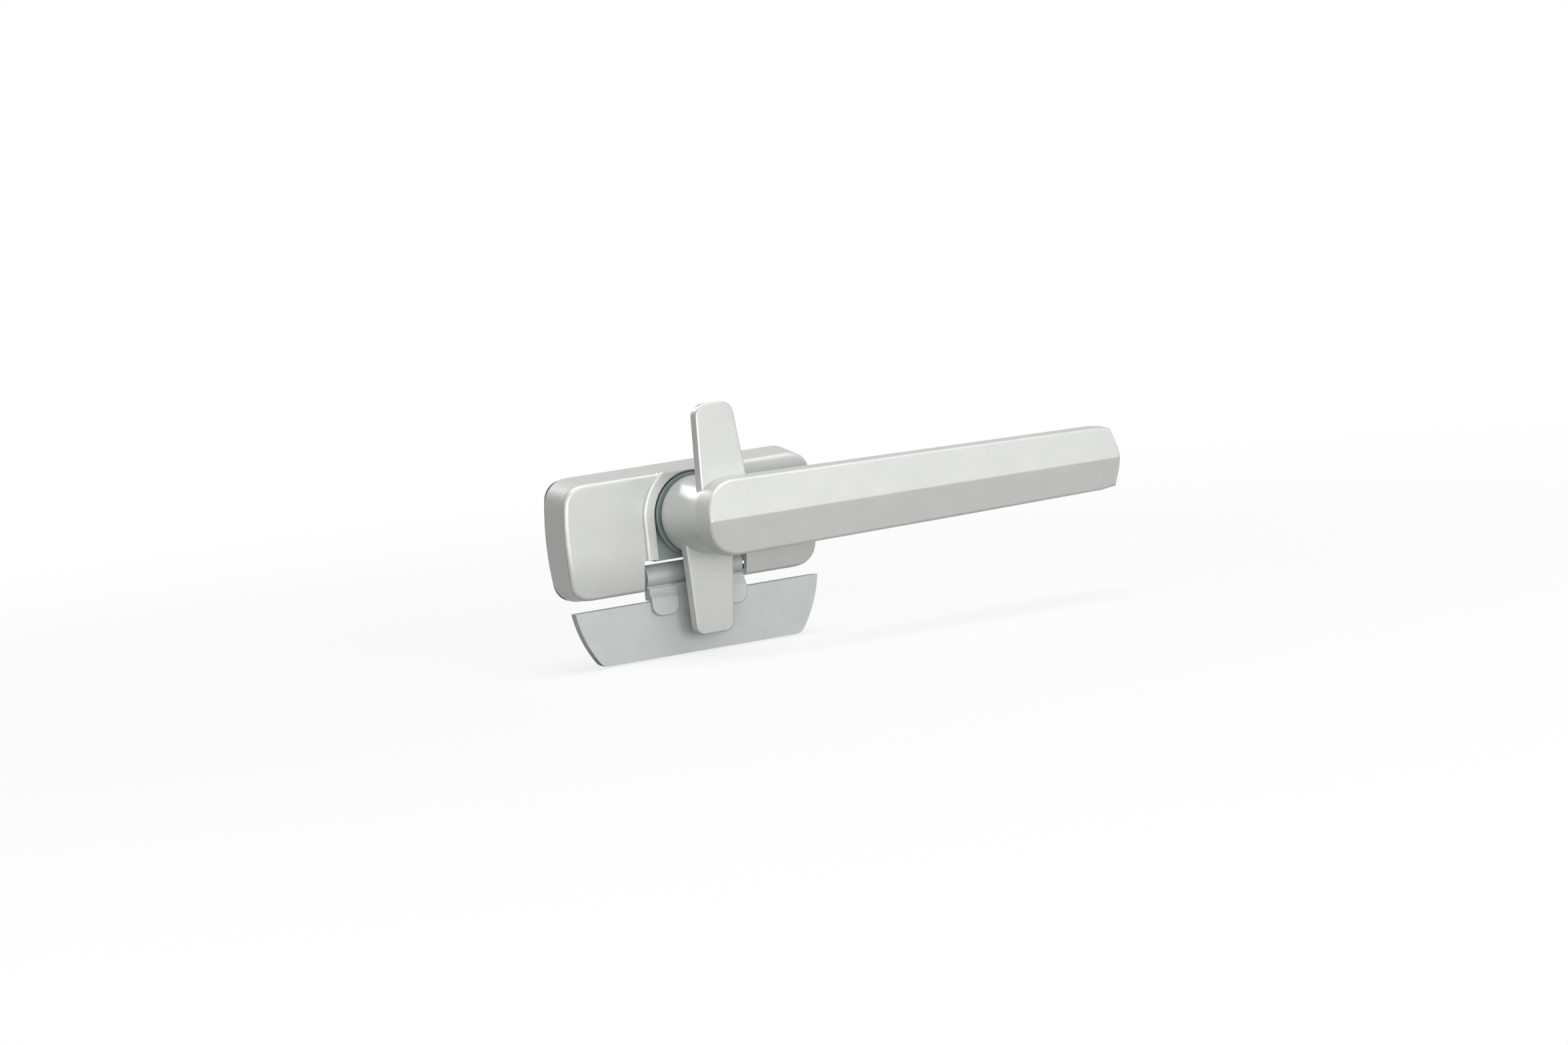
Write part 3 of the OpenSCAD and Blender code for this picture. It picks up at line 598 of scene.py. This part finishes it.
@dataclass
class CoverShell:
    """Painted die-cast cover: sloping walls, a rounded face, a hub opening with its lip, and a notch."""

    wall: float = 1.5
    # Curve of the ends, corners at the rim and at the face, and the face's curve towards the bottom edge
    end_r: float = 78.0
    corner_r: float = 5.5
    face_corner_r: float = 4.3
    crown_r: float = 40.0
    crown_from: float = 6.0
    # How far each wall draws in from the rim to the face
    end_draft: float = 1.1
    top_draft: float = 1.7
    bottom_draft: float = 0.5
    # The lip, how far it runs past the face's top and the notch's edge, and its roundings
    lip_h: float = 1.0
    lip_w: float = 3.1
    past_top: float = 0.3
    past_notch: float = 0.6
    lip_outer_edge: float = 0.75
    lip_inner_edge: float = 0.3
    lip_end_edge: float = 0.35
    opening_r: float = 11.0
    notch_half_w: float = 14.7
    notch_top: float = 9.9
    notch_edge: float = 0.5
    # Roundings of the face and of the hollow, and the fine groove below the face's edge
    face_edge: float = 0.9
    hollow_edge: float = 0.6
    groove_w: float = 0.4
    groove_d: float = 0.4
    groove_below: float = 0.12
    groove_taper: float = 0.05
    # Cuts that let the mesh bend, how far they keep off the corners, and how far parts overlap
    bow_cuts: int = 9
    bow_margin: float = 0.4
    crown_cuts: int = 10
    overlap: float = 0.3
    half_w: float = field(init=False)
    top: float = field(init=False)
    bottom: float = field(init=False)
    rim_z: float = field(init=False)
    face_z: float = field(init=False)

    def __post_init__(self) -> None:
        """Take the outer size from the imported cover."""
        low, high = flat_box("cover")
        self.half_w, self.top, self.bottom = high.x, high.y, -low.y
        self.rim_z, self.face_z = low.z, high.z - self.lip_h

    def share(self, height: float) -> float:
        """Give how far up a height is, from 0 at the rim to 1 at the face."""
        return (height - self.rim_z) / (self.face_z - self.rim_z)

    def body_block(self, inset: float, low_z: float, high_z: float) -> Blank:
        """Build a solid with the cover's outline at the rim, drawn in all round.

        Args:
            inset: How far it is drawn in.
            low_z: Height of its foot.
            high_z: Height of its face.

        Returns:
            The blank.
        """
        half_w, top, bottom = self.half_w - inset, self.top - inset, self.bottom - inset
        middle, half_h, middle_z = (top - bottom) / 2, (top + bottom) / 2, (low_z + high_z) / 2
        corner_r = self.corner_r - inset
        blank = Blank().block((-half_w, -bottom, low_z), (half_w, top, high_z))
        reach = half_h - corner_r - self.bow_margin
        for step in range(self.bow_cuts):
            blank.slice((0, middle + reach * (2 * step / (self.bow_cuts - 1) - 1), 0), (0, 1, 0))

        def bow(place: Vector) -> Vector:
            """Draw a corner in as far as the bowed end falls back at its height."""
            return place - Vector((math.copysign(sag(self.end_r, place.y - middle), place.x), 0, 0))

        blank.mould(bow)
        return blank.ease(corner_r, lambda at, angle: angle > 60 and abs(at.z - middle_z) < NEAR, 8)

    def slope(self, place: Vector) -> Vector:
        """Draw a corner in by the walls' slope at its height.

        Args:
            place: Where the corner is.

        Returns:
            Where it goes.
        """
        share = self.share(place.z)
        across = 1 - self.end_draft * share / self.half_w
        up = 1 - (self.top_draft / self.top if place.y > 0 else self.bottom_draft / self.bottom) * share
        return Vector((place.x * across, place.y * up, place.z))

    def tighten(self, place: Vector) -> Vector:
        """Draw the corners out towards the face, where their radius is smaller than at the rim.

        Args:
            place: Where the corner of the mesh is.

        Returns:
            Where it goes.
        """
        middle = (self.top - self.bottom) / 2
        reach = (self.top + self.bottom) / 2 - self.corner_r
        straight = self.half_w - sag(self.end_r, reach) - self.corner_r
        across = max(abs(place.x) - straight, 0) / self.corner_r
        up = max(abs(place.y - middle) - reach, 0) / self.corner_r
        # On the diagonal across times up is a half, and the shift is what the smaller radius asks for there
        full_shift = (2 - math.sqrt(2)) * (self.corner_r - self.face_corner_r)
        shift = full_shift * self.share(place.z) * across * up
        return place + Vector((math.copysign(shift, place.x), math.copysign(shift, place.y - middle), 0))

    def crown(self, blank: Blank) -> Blank:
        """Curve the face back towards the bottom edge.

        Args:
            blank: The cover's outside or its hollow.

        Returns:
            The same blank.
        """
        for row in range(self.crown_cuts):
            below = (self.bottom - self.crown_from) * row / self.crown_cuts
            blank.slice((0, -self.crown_from - below, 0), (0, 1, 0))

        def drop(place: Vector) -> Vector:
            """Lower a corner by its share of the face's fall."""
            fall = sag(self.crown_r, max(-place.y - self.crown_from, 0))
            return place - Vector((0, 0, fall * self.share(place.z)))

        return blank.mould(drop)

    def outer(self) -> Blank:
        """Build the outer skin, with a fine groove under the rounded edge of the face.

        Returns:
            The blank.
        """
        blank = self.body_block(0, self.rim_z, self.face_z)
        groove_z = self.face_z - self.face_edge - self.groove_below - self.groove_w
        for height in (groove_z, groove_z + self.groove_w):
            blank.slice((0, 0, height), (0, 0, 1))
        blank.mould(self.tighten).mould(self.slope)
        band = [face for face in blank.bm.faces
                if abs(face.calc_center_median().z - groove_z - self.groove_w / 2) < NEAR]
        bmesh.ops.inset_region(blank.bm, faces=band, use_boundary=True, use_even_offset=True,
                               thickness=self.groove_taper, depth=-self.groove_d)
        blank.ease(self.face_edge, lambda at, angle: angle > 30 and at.z > self.face_z - NEAR, 6)
        return self.crown(blank)

    def inner(self) -> Blank:
        """Build the hollow of the cover.

        Returns:
            The blank.
        """
        top_z = self.face_z - self.wall
        blank = self.body_block(self.wall, self.rim_z - 1, top_z).mould(self.slope)
        blank.ease(self.hollow_edge, lambda at, angle: angle > 30 and at.z > top_z - NEAR, 2)
        return self.crown(blank)

    def lip(self) -> Blank:
        """Build the raised lip, an arch whose legs run down past the notch's edge.

        Returns:
            The blank.
        """
        inner_r, outer_r = self.opening_r, self.opening_r + self.lip_w
        foot, crown = self.face_z - self.wall - self.overlap, self.face_z + self.lip_h
        blank = Blank().lathe(((inner_r, foot), (outer_r, foot), (outer_r, crown), (inner_r, crown)),
                              (0, 0, self.lip_outer_edge, self.lip_inner_edge), angle=FULL_TURN / 2)
        blank.bm.normal_update()
        ends = [face for face in blank.bm.faces
                if abs(face.calc_center_median().y) < NEAR and abs(face.normal.y) > 0.9]
        made = bmesh.ops.extrude_face_region(blank.bm, geom=ends)
        bmesh.ops.translate(blank.bm, vec=(0, -self.notch_top - self.past_notch, 0),
                            verts=only(made["geom"], BMVert))
        bmesh.ops.delete(blank.bm, geom=ends, context="FACES_ONLY")
        lip_top = self.top - self.top_draft + self.past_top
        blank.face_out().slice((0, lip_top, 0), (0, 1, 0), drop_above=True)
        return blank.ease(self.lip_end_edge, lambda at, angle: angle > 45 and at.y > lip_top - NEAR
                          and at.z > self.face_z, 2)

    def build(self) -> None:
        """Build and dress the cover."""
        blank = self.outer().combine(self.inner(), Cut.REMOVE)
        foot = self.face_z - self.wall
        middle_r = self.opening_r + self.lip_w / 2
        hole = Blank().drum((0, 0, foot), middle_r, middle_r, self.face_z)
        # The crown lowers the wall's back near the notch, so that part is cut from further down
        leg = Blank().block((-middle_r, -self.notch_top - self.overlap, foot - 2 * self.overlap),
                            (middle_r, 0, foot + self.face_z))
        blank.combine(hole.combine(leg, Cut.JOIN), Cut.REMOVE)
        blank.combine(self.lip(), Cut.JOIN)
        notch = Blank().block((-self.notch_half_w, -self.bottom - 2, -1),
                              (self.notch_half_w, -self.notch_top, 2 * self.face_z))
        notch.ease(self.notch_edge, lambda at, angle: at.y > -self.notch_top - NEAR and abs(at.x) > 1, 4)
        blank.combine(notch, Cut.REMOVE)
        blank.finish("cover_shell", Body.BASE, COAT, ["cover"])


@dataclass
class LeverHandle:
    """Painted handle casting: a ridged lever, its hub and two leaning tongues."""

    tilt: float = 1.4
    reach: float = 110.6
    washer_gap: float = 0.25
    lever_t: float = 8.6
    spare: float = 0.5
    ridge_h: float = 3.0
    hub_half_w: float = 9.9
    tip_half_w: float = 8.3
    # How the lever's sides draw in towards its front, and the share of that at the tip
    draft: float = 0.13
    tip_draft_share: float = 0.6
    # Rounding of the lever's back, and the share of it by which the tip's point draws in
    back_round: float = 1.6
    tip_round_share: float = 0.8
    # The tip in plan: where its corners start, and how far back and in its front ones lie
    tip_chamfer: float = 5.0
    tip_peak: float = 1.35
    tip_drop: float = 0.5
    # Facets at the tip's front: how far back they start, how they fan out, and how they rise
    front_back: float = 0.75
    front_fan: float = 0.16
    front_rise: float = 0.75
    front_merge: float = 0.28
    # Roundings of the tip, of the lever's other edges and of its ridge
    tip_zone: float = 1.6
    tip_edge: float = 0.3
    side_edge: float = 0.75
    ridge_edge: float = 0.25
    hub_r: float = 9.9
    waist_r: float = 9.4
    foot_edge: float = 0.45
    journal_r: float = 5.0
    journal_depth: float = 12.5
    tongue_t: float = 3.0
    lean: float = 4.0
    root_half_w: float = 6.9
    tongue_tip_w: float = 5.2
    closing_corner_r: float = 2.2
    ajar_corner_r: float = 3.0
    tongue_front_edge: float = 0.5
    tongue_back_edge: float = 0.35
    closing_lift: float = 3.4
    ajar_step: float = 10.7
    # Noses behind the tongues: radius, flare, and where they stand on the pads
    nose_r: float = 2.45
    nose_flare: float = 0.3
    nose_in: float = 2.2
    nose_seat: float = 0.9
    ajar_len: float = field(init=False)
    closing_len: float = field(init=False)
    hub_z: float = field(init=False)

    def __post_init__(self) -> None:
        """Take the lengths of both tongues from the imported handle, and its seat from the washer."""
        low, high = flat_box("lever_handle")
        lean = math.radians(self.lean)
        self.hub_z = flat_box("glide_washer")[1].z + self.washer_gap
        # The tip's front corner reaches furthest, because the tongue leans back
        self.ajar_len = (high.y - self.tongue_t * math.sin(lean)) / math.cos(lean)
        self.closing_len = (-low.y - self.tongue_t * math.sin(lean)) / math.cos(lean)

    def lever_hull(self) -> Blank:
        """Build the lever's outline with its rounded back, still without its ridge.

        Returns:
            The blank.
        """
        blank = Blank()
        # Height and inset of each outline; the highest stands over the ridge, whose cuts bring it down
        levels = [(self.lever_t + self.spare, 0.0)]
        for step in range(CORNER_STEPS + 1):
            turn = math.pi / 2 * step / CORNER_STEPS
            levels.append((self.back_round * (1 - math.cos(turn)), self.back_round * (1 - math.sin(turn))))
        for height, inset in levels:
            rise = max(height - self.back_round, 0)
            round_r = self.hub_half_w - inset - self.draft * rise
            made = bmesh.ops.create_circle(blank.bm, cap_ends=False, segments=2 * ROUND_STEPS, radius=round_r)
            bmesh.ops.translate(blank.bm, vec=(0, 0, height), verts=made["verts"])
            half_w = self.tip_half_w - inset - self.tip_draft_share * self.draft * rise
            reach = self.reach - self.tip_round_share * inset
            for side in (-1, 1):
                blank.bm.verts.new((reach - self.tip_chamfer, side * half_w, height))
                blank.bm.verts.new((reach - self.tip_peak, side * (half_w - self.tip_drop), height))
            blank.bm.verts.new((reach, 0, height))
        made = bmesh.ops.convex_hull(blank.bm, input=blank.bm.verts[:])
        spare = list(set(only(made["geom_interior"] + made["geom_unused"], BMVert)))
        bmesh.ops.delete(blank.bm, geom=spare, context="VERTS")
        loose = [edge for edge in blank.bm.edges if not edge.link_faces]
        bmesh.ops.delete(blank.bm, geom=loose, context="EDGES")
        return blank.dissolve(0.4)

    def lever(self, base_z: float) -> Blank:
        """Build the lever bar.

        Args:
            base_z: Height of its back on the hub axis.

        Returns:
            The blank.
        """
        blank = self.lever_hull()
        for side in (-1, 1):
            blank.slice((0, 0, self.lever_t), (0, side * self.ridge_h / self.hub_half_w, 1), drop_above=True)
        for side in (-1, 1):
            blank.slice((self.reach - self.front_back, 0, self.lever_t),
                        (1, side * self.front_fan, self.front_rise), drop_above=True)

        # The cuts leave edges too short to round along the head's front, so they are merged first
        front = [vert for vert in blank.bm.verts if vert.co.z > self.lever_t / 2]
        bmesh.ops.remove_doubles(blank.bm, verts=front, dist=self.front_merge)
        tip_x = self.reach - self.tip_zone

        def outer_edge(at: Vector, angle: float) -> bool:
            """Tell whether an edge is an outside one, not the ridge or a step of the back's rounding."""
            return angle > 30 and not (abs(at.y) < 0.05 and at.z > self.lever_t - 0.5)

        def ridge(at: Vector, angle: float) -> bool:
            """Tell whether an edge belongs to the ridge, short of the tip's facets."""
            return angle > 22 and abs(at.y) < 0.02 and at.z > self.lever_t - 0.3 and at.x < self.reach - 2

        # The tip's small faces only take a finer rounding than the head and the long edges
        blank.ease(self.tip_edge, lambda at, angle: at.x >= tip_x and outer_edge(at, angle), 3, clamp=True)
        blank.ease(self.side_edge, lambda at, angle: at.x < tip_x and outer_edge(at, angle), 4)
        blank.ease(self.ridge_edge, ridge, 2, clamp=True)
        return blank.turn(-self.tilt, "Y").move((0, 0, base_z))

    def tongue(self, length: float, corner_r: float, base_z: float, turned: float) -> Blank:
        """Build one leaning tongue.

        Args:
            length: Its reach from the hub axis.
            corner_r: Radius of the corners at its tip.
            base_z: Height of its back on the hub axis.
            turned: Direction that it points in, in degrees from straight up.

        Returns:
            The blank.
        """
        root_y = self.waist_r / 2
        # The root lies inside the hub, so its edges stay sharp
        free_y = root_y + 0.1
        blank = Blank().plate(((self.root_half_w, root_y), (self.tongue_tip_w, length),
                               (-self.tongue_tip_w, length), (-self.root_half_w, root_y)), 0, self.tongue_t)
        blank.ease(corner_r, lambda at, angle: at.y > length - NEAR and abs(at.x) > 1
                   and abs(at.z - self.tongue_t / 2) < NEAR, 8)
        blank.ease(self.tongue_front_edge,
                   lambda at, angle: angle > 60 and at.z > self.tongue_t - NEAR and at.y > free_y, 3)
        blank.ease(self.tongue_back_edge, lambda at, angle: angle > 60 and at.z < NEAR and at.y > free_y, 2)
        return blank.turn(-self.lean, "X").move((0, 0, base_z)).turn(turned, "Z")

    def build(self) -> None:
        """Build and dress the handle."""
        closing_z = self.hub_z + self.closing_lift
        ajar_z = closing_z + self.ajar_step
        # The ajar tongue runs into the back of the lever's head
        lever_z = ajar_z + 0.55 * self.tongue_t
        shoulder_z = lever_z + self.back_round
        hub = Blank().lathe((
            (0, self.hub_z),
            (self.hub_r, self.hub_z),
            # Draws in to a straight waist above the closing tongue
            (self.waist_r + 0.2, closing_z + 1.5),
            (self.waist_r, closing_z + self.tongue_t + 2),
            (self.waist_r, ajar_z - 2),
            # Swells softly to the width of the lever's head
            (self.waist_r + 0.1, ajar_z - 0.6),
            (self.waist_r + 0.24, ajar_z + 0.8),
            (self.hub_half_w - 0.12, ajar_z + 2),
            (self.hub_half_w, shoulder_z),
            # Ends inside the head
            (self.hub_half_w - 1.2, shoulder_z + 2),
            (0, shoulder_z + 2),
        ), (0, self.foot_edge), steps=2 * ROUND_STEPS)
        hub.combine(self.lever(lever_z), Cut.JOIN)
        hub.combine(self.tongue(self.closing_len, self.closing_corner_r, closing_z, 180), Cut.JOIN)
        hub.combine(self.tongue(self.ajar_len, self.ajar_corner_r, ajar_z, 0), Cut.JOIN)
        pads_low, _ = flat_box("tongue_pads")
        for turned, step in ((180, 0), (0, self.ajar_step)):
            foot = pads_low.z + step + self.nose_seat
            nose = Blank().drum((0, -pads_low.y - self.nose_in, foot), self.nose_r,
                                self.nose_r + self.nose_flare, closing_z + step - foot, ROUND_STEPS // 2)
            hub.combine(nose.turn(turned, "Z"), Cut.JOIN)
        bore = Blank().drum((0, 0, self.hub_z - 1), self.journal_r, self.journal_r, self.journal_depth + 1)
        hub.combine(bore, Cut.REMOVE)
        hub.finish("handle_casting", Body.HANDLE, COAT, ["lever_handle"])


@dataclass
class GuideBlock:
    """Cast guide block: a rounded ridge, a channel and two lugs with a sloping upper facet."""

    channel_half_w: float = 6.0
    ridge_r: float = 3.1
    ridge_drop: float = 6.0
    ridge_proud: float = 0.1
    # Where the ridge's round meets its straight back, as a share of its radius
    neck_share: float = 0.75
    foot_gap: float = 0.3
    lug_r: float = 2.8
    lug_h: float = 1.3
    lug_edge: float = 0.3
    facet_drop: float = 2.9
    facet_rise: float = 1.8
    web_back: float = 0.7
    web_up: float = 1.0
    web_overlap: float = 0.5
    bar_drop: float = 0.4
    bar_overlap: float = 0.3
    half_w: float = field(init=False)
    back: float = field(init=False)
    front: float = field(init=False)
    lug_bottom: float = field(init=False)
    plate_top: float = field(init=False)

    def __post_init__(self) -> None:
        """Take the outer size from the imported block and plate."""
        low, high = flat_box("guide_block")
        self.half_w, self.back, self.front, self.lug_bottom = high.x, low.z, high.z, low.y
        self.plate_top = flat_box("keeper_plate")[1].y

    def build(self) -> None:
        """Build and dress the block."""
        face = self.front - self.lug_h
        ridge_y = self.plate_top + self.ridge_drop
        ridge_z = face - self.ridge_r + self.ridge_proud
        crease_y = ridge_y - self.neck_share * self.ridge_r
        neck_z = ridge_z + self.neck_share * self.ridge_r
        foot_y = self.plate_top + self.foot_gap
        web_half_w = self.channel_half_w + self.web_overlap
        block = Blank().drum((0, 0, -self.half_w), self.ridge_r, self.ridge_r, 2 * self.half_w)
        block.turn(90, "Y").move((0, ridge_y, ridge_z))
        body = Blank().block((-self.half_w, foot_y, self.back), (self.half_w, crease_y, neck_z))
        web = Blank().block((-web_half_w, self.lug_bottom + self.web_up, face),
                            (web_half_w, crease_y, self.front - self.web_back))
        block.combine(body, Cut.JOIN).combine(web, Cut.JOIN)
        for side in (-1, 1):
            near, far = sorted((side * self.channel_half_w, side * self.half_w))
            lug = Blank().block((near, self.lug_bottom, face), (far, crease_y, self.front))
            lug.ease(self.lug_r, lambda at, angle: at.y < self.lug_bottom + NEAR
                     and face + NEAR < at.z < self.front - NEAR, 8)
            lug.slice((0, crease_y, self.front - self.facet_rise), (0, self.facet_rise, self.facet_drop),
                      drop_above=True)
            lug.ease(self.lug_edge, lambda at, angle: angle > 25 and at.z > face + NEAR, 3, clamp=True)
            bar = Blank().block((near, foot_y, self.back),
                                (far, crease_y - self.bar_drop, face + self.bar_overlap))
            block.combine(bar, Cut.JOIN).combine(lug, Cut.JOIN)
        behind = Blank().block((-self.half_w - 1, self.plate_top, 0), (self.half_w + 1, 0, self.back))
        block.combine(behind, Cut.REMOVE)
        block.finish("guide_casting", Body.BASE, ZINC, ["guide_block"])


@dataclass(frozen=True)
class SoftenedNode:
    """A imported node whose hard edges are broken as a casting's or a deburred part's are."""

    node: str
    finish: Finish
    edge: float
    steps: int = 2
    sharp: float = 35.0

    def build(self) -> None:
        """Build and dress the softened copy."""
        blank = Blank().take_node(self.node)
        blank.ease(self.edge, lambda at, angle: angle > self.sharp, self.steps, clamp=True)
        blank.finish(self.node + "_soft", Body.BASE, self.finish, [self.node])


@dataclass(frozen=True)
class KeptNode:
    """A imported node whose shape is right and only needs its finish."""

    node: str
    finish: Finish

    def dress(self) -> None:
        """Give the node its finish."""
        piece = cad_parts[self.node]
        piece.data.materials.clear()
        piece.data.materials.append(self.finish.material())
        LOG.info("%s: packed shape, %s", self.node, self.finish.slot)


@dataclass(frozen=True)
class SoftLamp:
    """A square soft lamp that faces the fastener: place and side in metres, power in watts."""

    name: str
    place: tuple[float, float, float]
    side: float
    power: float
    only_mirrored: bool = False

    def hang(self) -> None:
        """Hang the lamp."""
        data = bpy.data.lights.new(self.name, "AREA")
        data.size = self.side
        data.energy = self.power
        lamp = put(self.name, data)
        lamp.visible_camera = False
        lamp.visible_diffuse = not self.only_mirrored
        place = Vector(self.place)
        lamp.matrix_world = Matrix.Translation(place) @ (-place).to_track_quat("-Z", "Y").to_matrix().to_4x4()


LAMPS = (
    SoftLamp("key", (-0.22, -1.38, 0.12), 1.0, 11.0),
    SoftLamp("top", (0.1, -0.1, 1.3), 1.0, 13.0),
    SoftLamp("facet_light", (0.65, -0.85, 0.95), 1.0, 2.4),
    SoftLamp("right_light", (0.8, -1.15, 0.1), 1.0, 2.0),
    SoftLamp("left_light", (-0.75, -1.15, 0.05), 0.6, 5.4),
    SoftLamp("low_light", (0.15, -1.4, 0.02), 0.35, 3.0),
    # These two only show in reflections: along the front edges, and along the hub's upper left
    SoftLamp("edge_light", (-1.15, -0.66, 0.12), 0.3, 2.6, only_mirrored=True),
    SoftLamp("hub_light", (-0.13, 1.3, 0.72), 0.5, 4.2, only_mirrored=True),
)


@dataclass
class Studio:
    """Pale floor, soft lamps and the camera."""

    azimuth: float = -29.77
    elevation: float = 5.66
    roll: float = 6.13
    distance: float = 1600.5
    lens: float = 146.17
    sensor_w: float = 36.0
    aim: tuple[float, float, float] = (23.61, -14.13, -5.44)
    # Strength of the dim light from all round, and of the white that reflections show
    dim: float = 0.08
    mirrored: float = 0.6
    # The floor's size and the gap under the object, and its own share of white near the object
    floor_r: float = 1500.0
    floor_gap: float = 0.5
    floor_glow: float = 0.8
    # Metres from the object between which the floor turns white, as seen directly and in reflections
    seen_fade: tuple[float, float] = (0.1, 0.5)
    mirrored_fade: tuple[float, float] = (0.25, 1.2)

    def camera(self) -> None:
        """Set the camera where the photograph was taken from."""
        azimuth, elevation, roll = (math.radians(v) for v in (self.azimuth, self.elevation, self.roll))
        back = Vector((math.sin(azimuth) * math.cos(elevation), -math.cos(azimuth) * math.cos(elevation),
                       math.sin(elevation)))
        level = Vector((math.cos(azimuth), math.sin(azimuth), 0))
        upright = back.cross(level)
        right = math.cos(roll) * level - math.sin(roll) * upright
        up = math.sin(roll) * level + math.cos(roll) * upright
        data = bpy.data.cameras.new("photo_camera")
        data.sensor_fit = "HORIZONTAL"
        data.sensor_width = self.sensor_w
        data.lens = self.lens
        data.clip_start, data.clip_end = 0.05, 20
        camera = put("photo_camera", data)
        turn = Matrix((right, up, back)).transposed().to_4x4()
        camera.matrix_world = Matrix.Translation((Vector(self.aim) + back * self.distance) * MM) @ turn
        bpy.context.scene.camera = camera

    def watch(self, tree: NodeTree) -> tuple[Node, Node]:
        """Tell rays that show the surroundings from rays that light the object.

        Args:
            tree: The node tree of the world or the floor.

        Returns:
            The Light Path node, and one that gives 1 for what is seen directly, mirrored or through glass.
        """
        path = add_node(tree, "LightPath")
        seen = path.outputs["Is Camera Ray"]
        for ray in ("Is Glossy Ray", "Is Transmission Ray"):
            seen = add_node(tree, "Math", {"operation": "MAXIMUM"}, {0: seen, 1: path.outputs[ray]})
        return path, seen

    def world(self) -> None:
        """Light the object dimly from all round, and show white behind it."""
        world = bpy.data.worlds.new("studio")
        bpy.context.scene.world = world
        world.use_nodes = True
        tree = world.node_tree
        tree.nodes.clear()
        path, seen = self.watch(tree)
        dim = add_node(tree, "Background", {"Color": linear("#F2F3F4"), "Strength": self.dim})
        # White behind the object, and a little dimmer in its reflections
        strength = add_node(tree, "MapRange", {LOW: self.mirrored, HIGH: 1.0},
                            {0: path.outputs["Is Camera Ray"]})
        white = add_node(tree, "Background", {"Color": linear("#FFFFFF")}, {"Strength": strength})
        mixed = add_node(tree, "MixShader", {}, {0: seen, 1: dim, 2: white})
        add_node(tree, "OutputWorld", {}, {"Surface": mixed})

    def floor_material(self) -> Material:
        """Make the floor's paint, which fades to white far away and darkens for rays that light the object.

        Returns:
            The material.
        """
        made = bpy.data.materials.new("pale_floor")
        made.use_nodes = True
        tree = made.node_tree
        shader = tree.nodes["Principled BSDF"]
        shader.inputs["Roughness"].default_value = 0.9
        place = add_node(tree, "TexCoord")
        away = add_node(tree, "VectorMath", {"operation": "LENGTH"}, {0: place.outputs["Object"]})
        path, seen = self.watch(tree)
        shares = []
        for ray, fade, near, far in (("Is Camera Ray", self.seen_fade, self.floor_glow, 1.0),
                                     ("Is Glossy Ray", self.mirrored_fade, 0.0, self.mirrored)):
            share = add_node(tree, "MapRange",
                             {"interpolation_type": "SMOOTHSTEP", START: fade[0], END: fade[1], LOW: near,
                              HIGH: far}, {0: away.outputs["Value"]})
            shares.append(add_node(tree, "Math", {"operation": "MULTIPLY"}, {0: share, 1: path.outputs[ray]}))
        share = add_node(tree, "Math", {"operation": "MAXIMUM"}, dict(enumerate(shares)))
        tone = add_node(tree, "Mix", {"data_type": "RGBA", UNDER: linear("#505150"), OVER: linear("#F6F6F5")},
                        {0: seen})
        feed(tree, tone.outputs[MIXED], shader.inputs["Base Color"])
        glow = add_node(tree, "Emission", {"Color": linear("#FFFFFF"), "Strength": 1.0})
        mixed = add_node(tree, "MixShader", {}, {0: share, 1: shader, 2: glow})
        feed(tree, mixed, tree.nodes["Material Output"].inputs["Surface"])
        return made

    def floor(self) -> None:
        """Lay a pale round floor just under the fastener."""
        blank = Blank()
        low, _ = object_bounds()
        bmesh.ops.create_circle(blank.bm, cap_ends=True, segments=64, radius=self.floor_r * MM)
        mesh = blank.move((0, 0, low.z - self.floor_gap * MM)).mesh("floor")
        mesh.materials.append(self.floor_material())
        put("floor", mesh)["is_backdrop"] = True

    def build(self) -> None:
        """Set up floor, light and camera."""
        bpy.context.scene.view_settings.view_transform = "Standard"
        self.world()
        self.floor()
        for lamp in LAMPS:
            lamp.hang()
        self.camera()


def main() -> None:
    """Build every piece, the studio and the camera."""
    logging.basicConfig(level=logging.INFO, format="%(message)s")
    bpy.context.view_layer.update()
    CoverShell().build()
    LeverHandle().build()
    GuideBlock().build()
    # The base body takes the zinc that is darkened as painted shade
    for piece in (SoftenedNode("keeper_plate", ZINC, 0.7, 3), SoftenedNode("base_body", SHADED_ZINC, 0.3),
                  SoftenedNode("thrust_ring", PLATE, 0.2)):
        piece.build()
    kept = {
        # The rim seal's black is partly painted shade: the dark contact line along the cover's rim
        "cover_clips": SPRING, "rim_seal": RUBBER, "base_screws": STEEL, "pivot_bush": WHITE_ACETAL,
        "glide_washer": DARK_ACETAL, "stop_pin": STEEL, "pressure_washer": WHITE_ACETAL, "spindle": STEEL,
        "cross_pin": BLACK_STEEL, "tongue_pads": DARK_ACETAL, "stop_disc": STEEL, "wave_spring": SPRING,
        "circlip": BLACK_STEEL, "block_rivets": STEEL, "keeper_studs": STEEL, "keeper_packer": RUBBER,
    }
    for node, finish in kept.items():
        KeptNode(node, finish).dress()
    Studio().build()


if __name__ == "__main__":
    main()
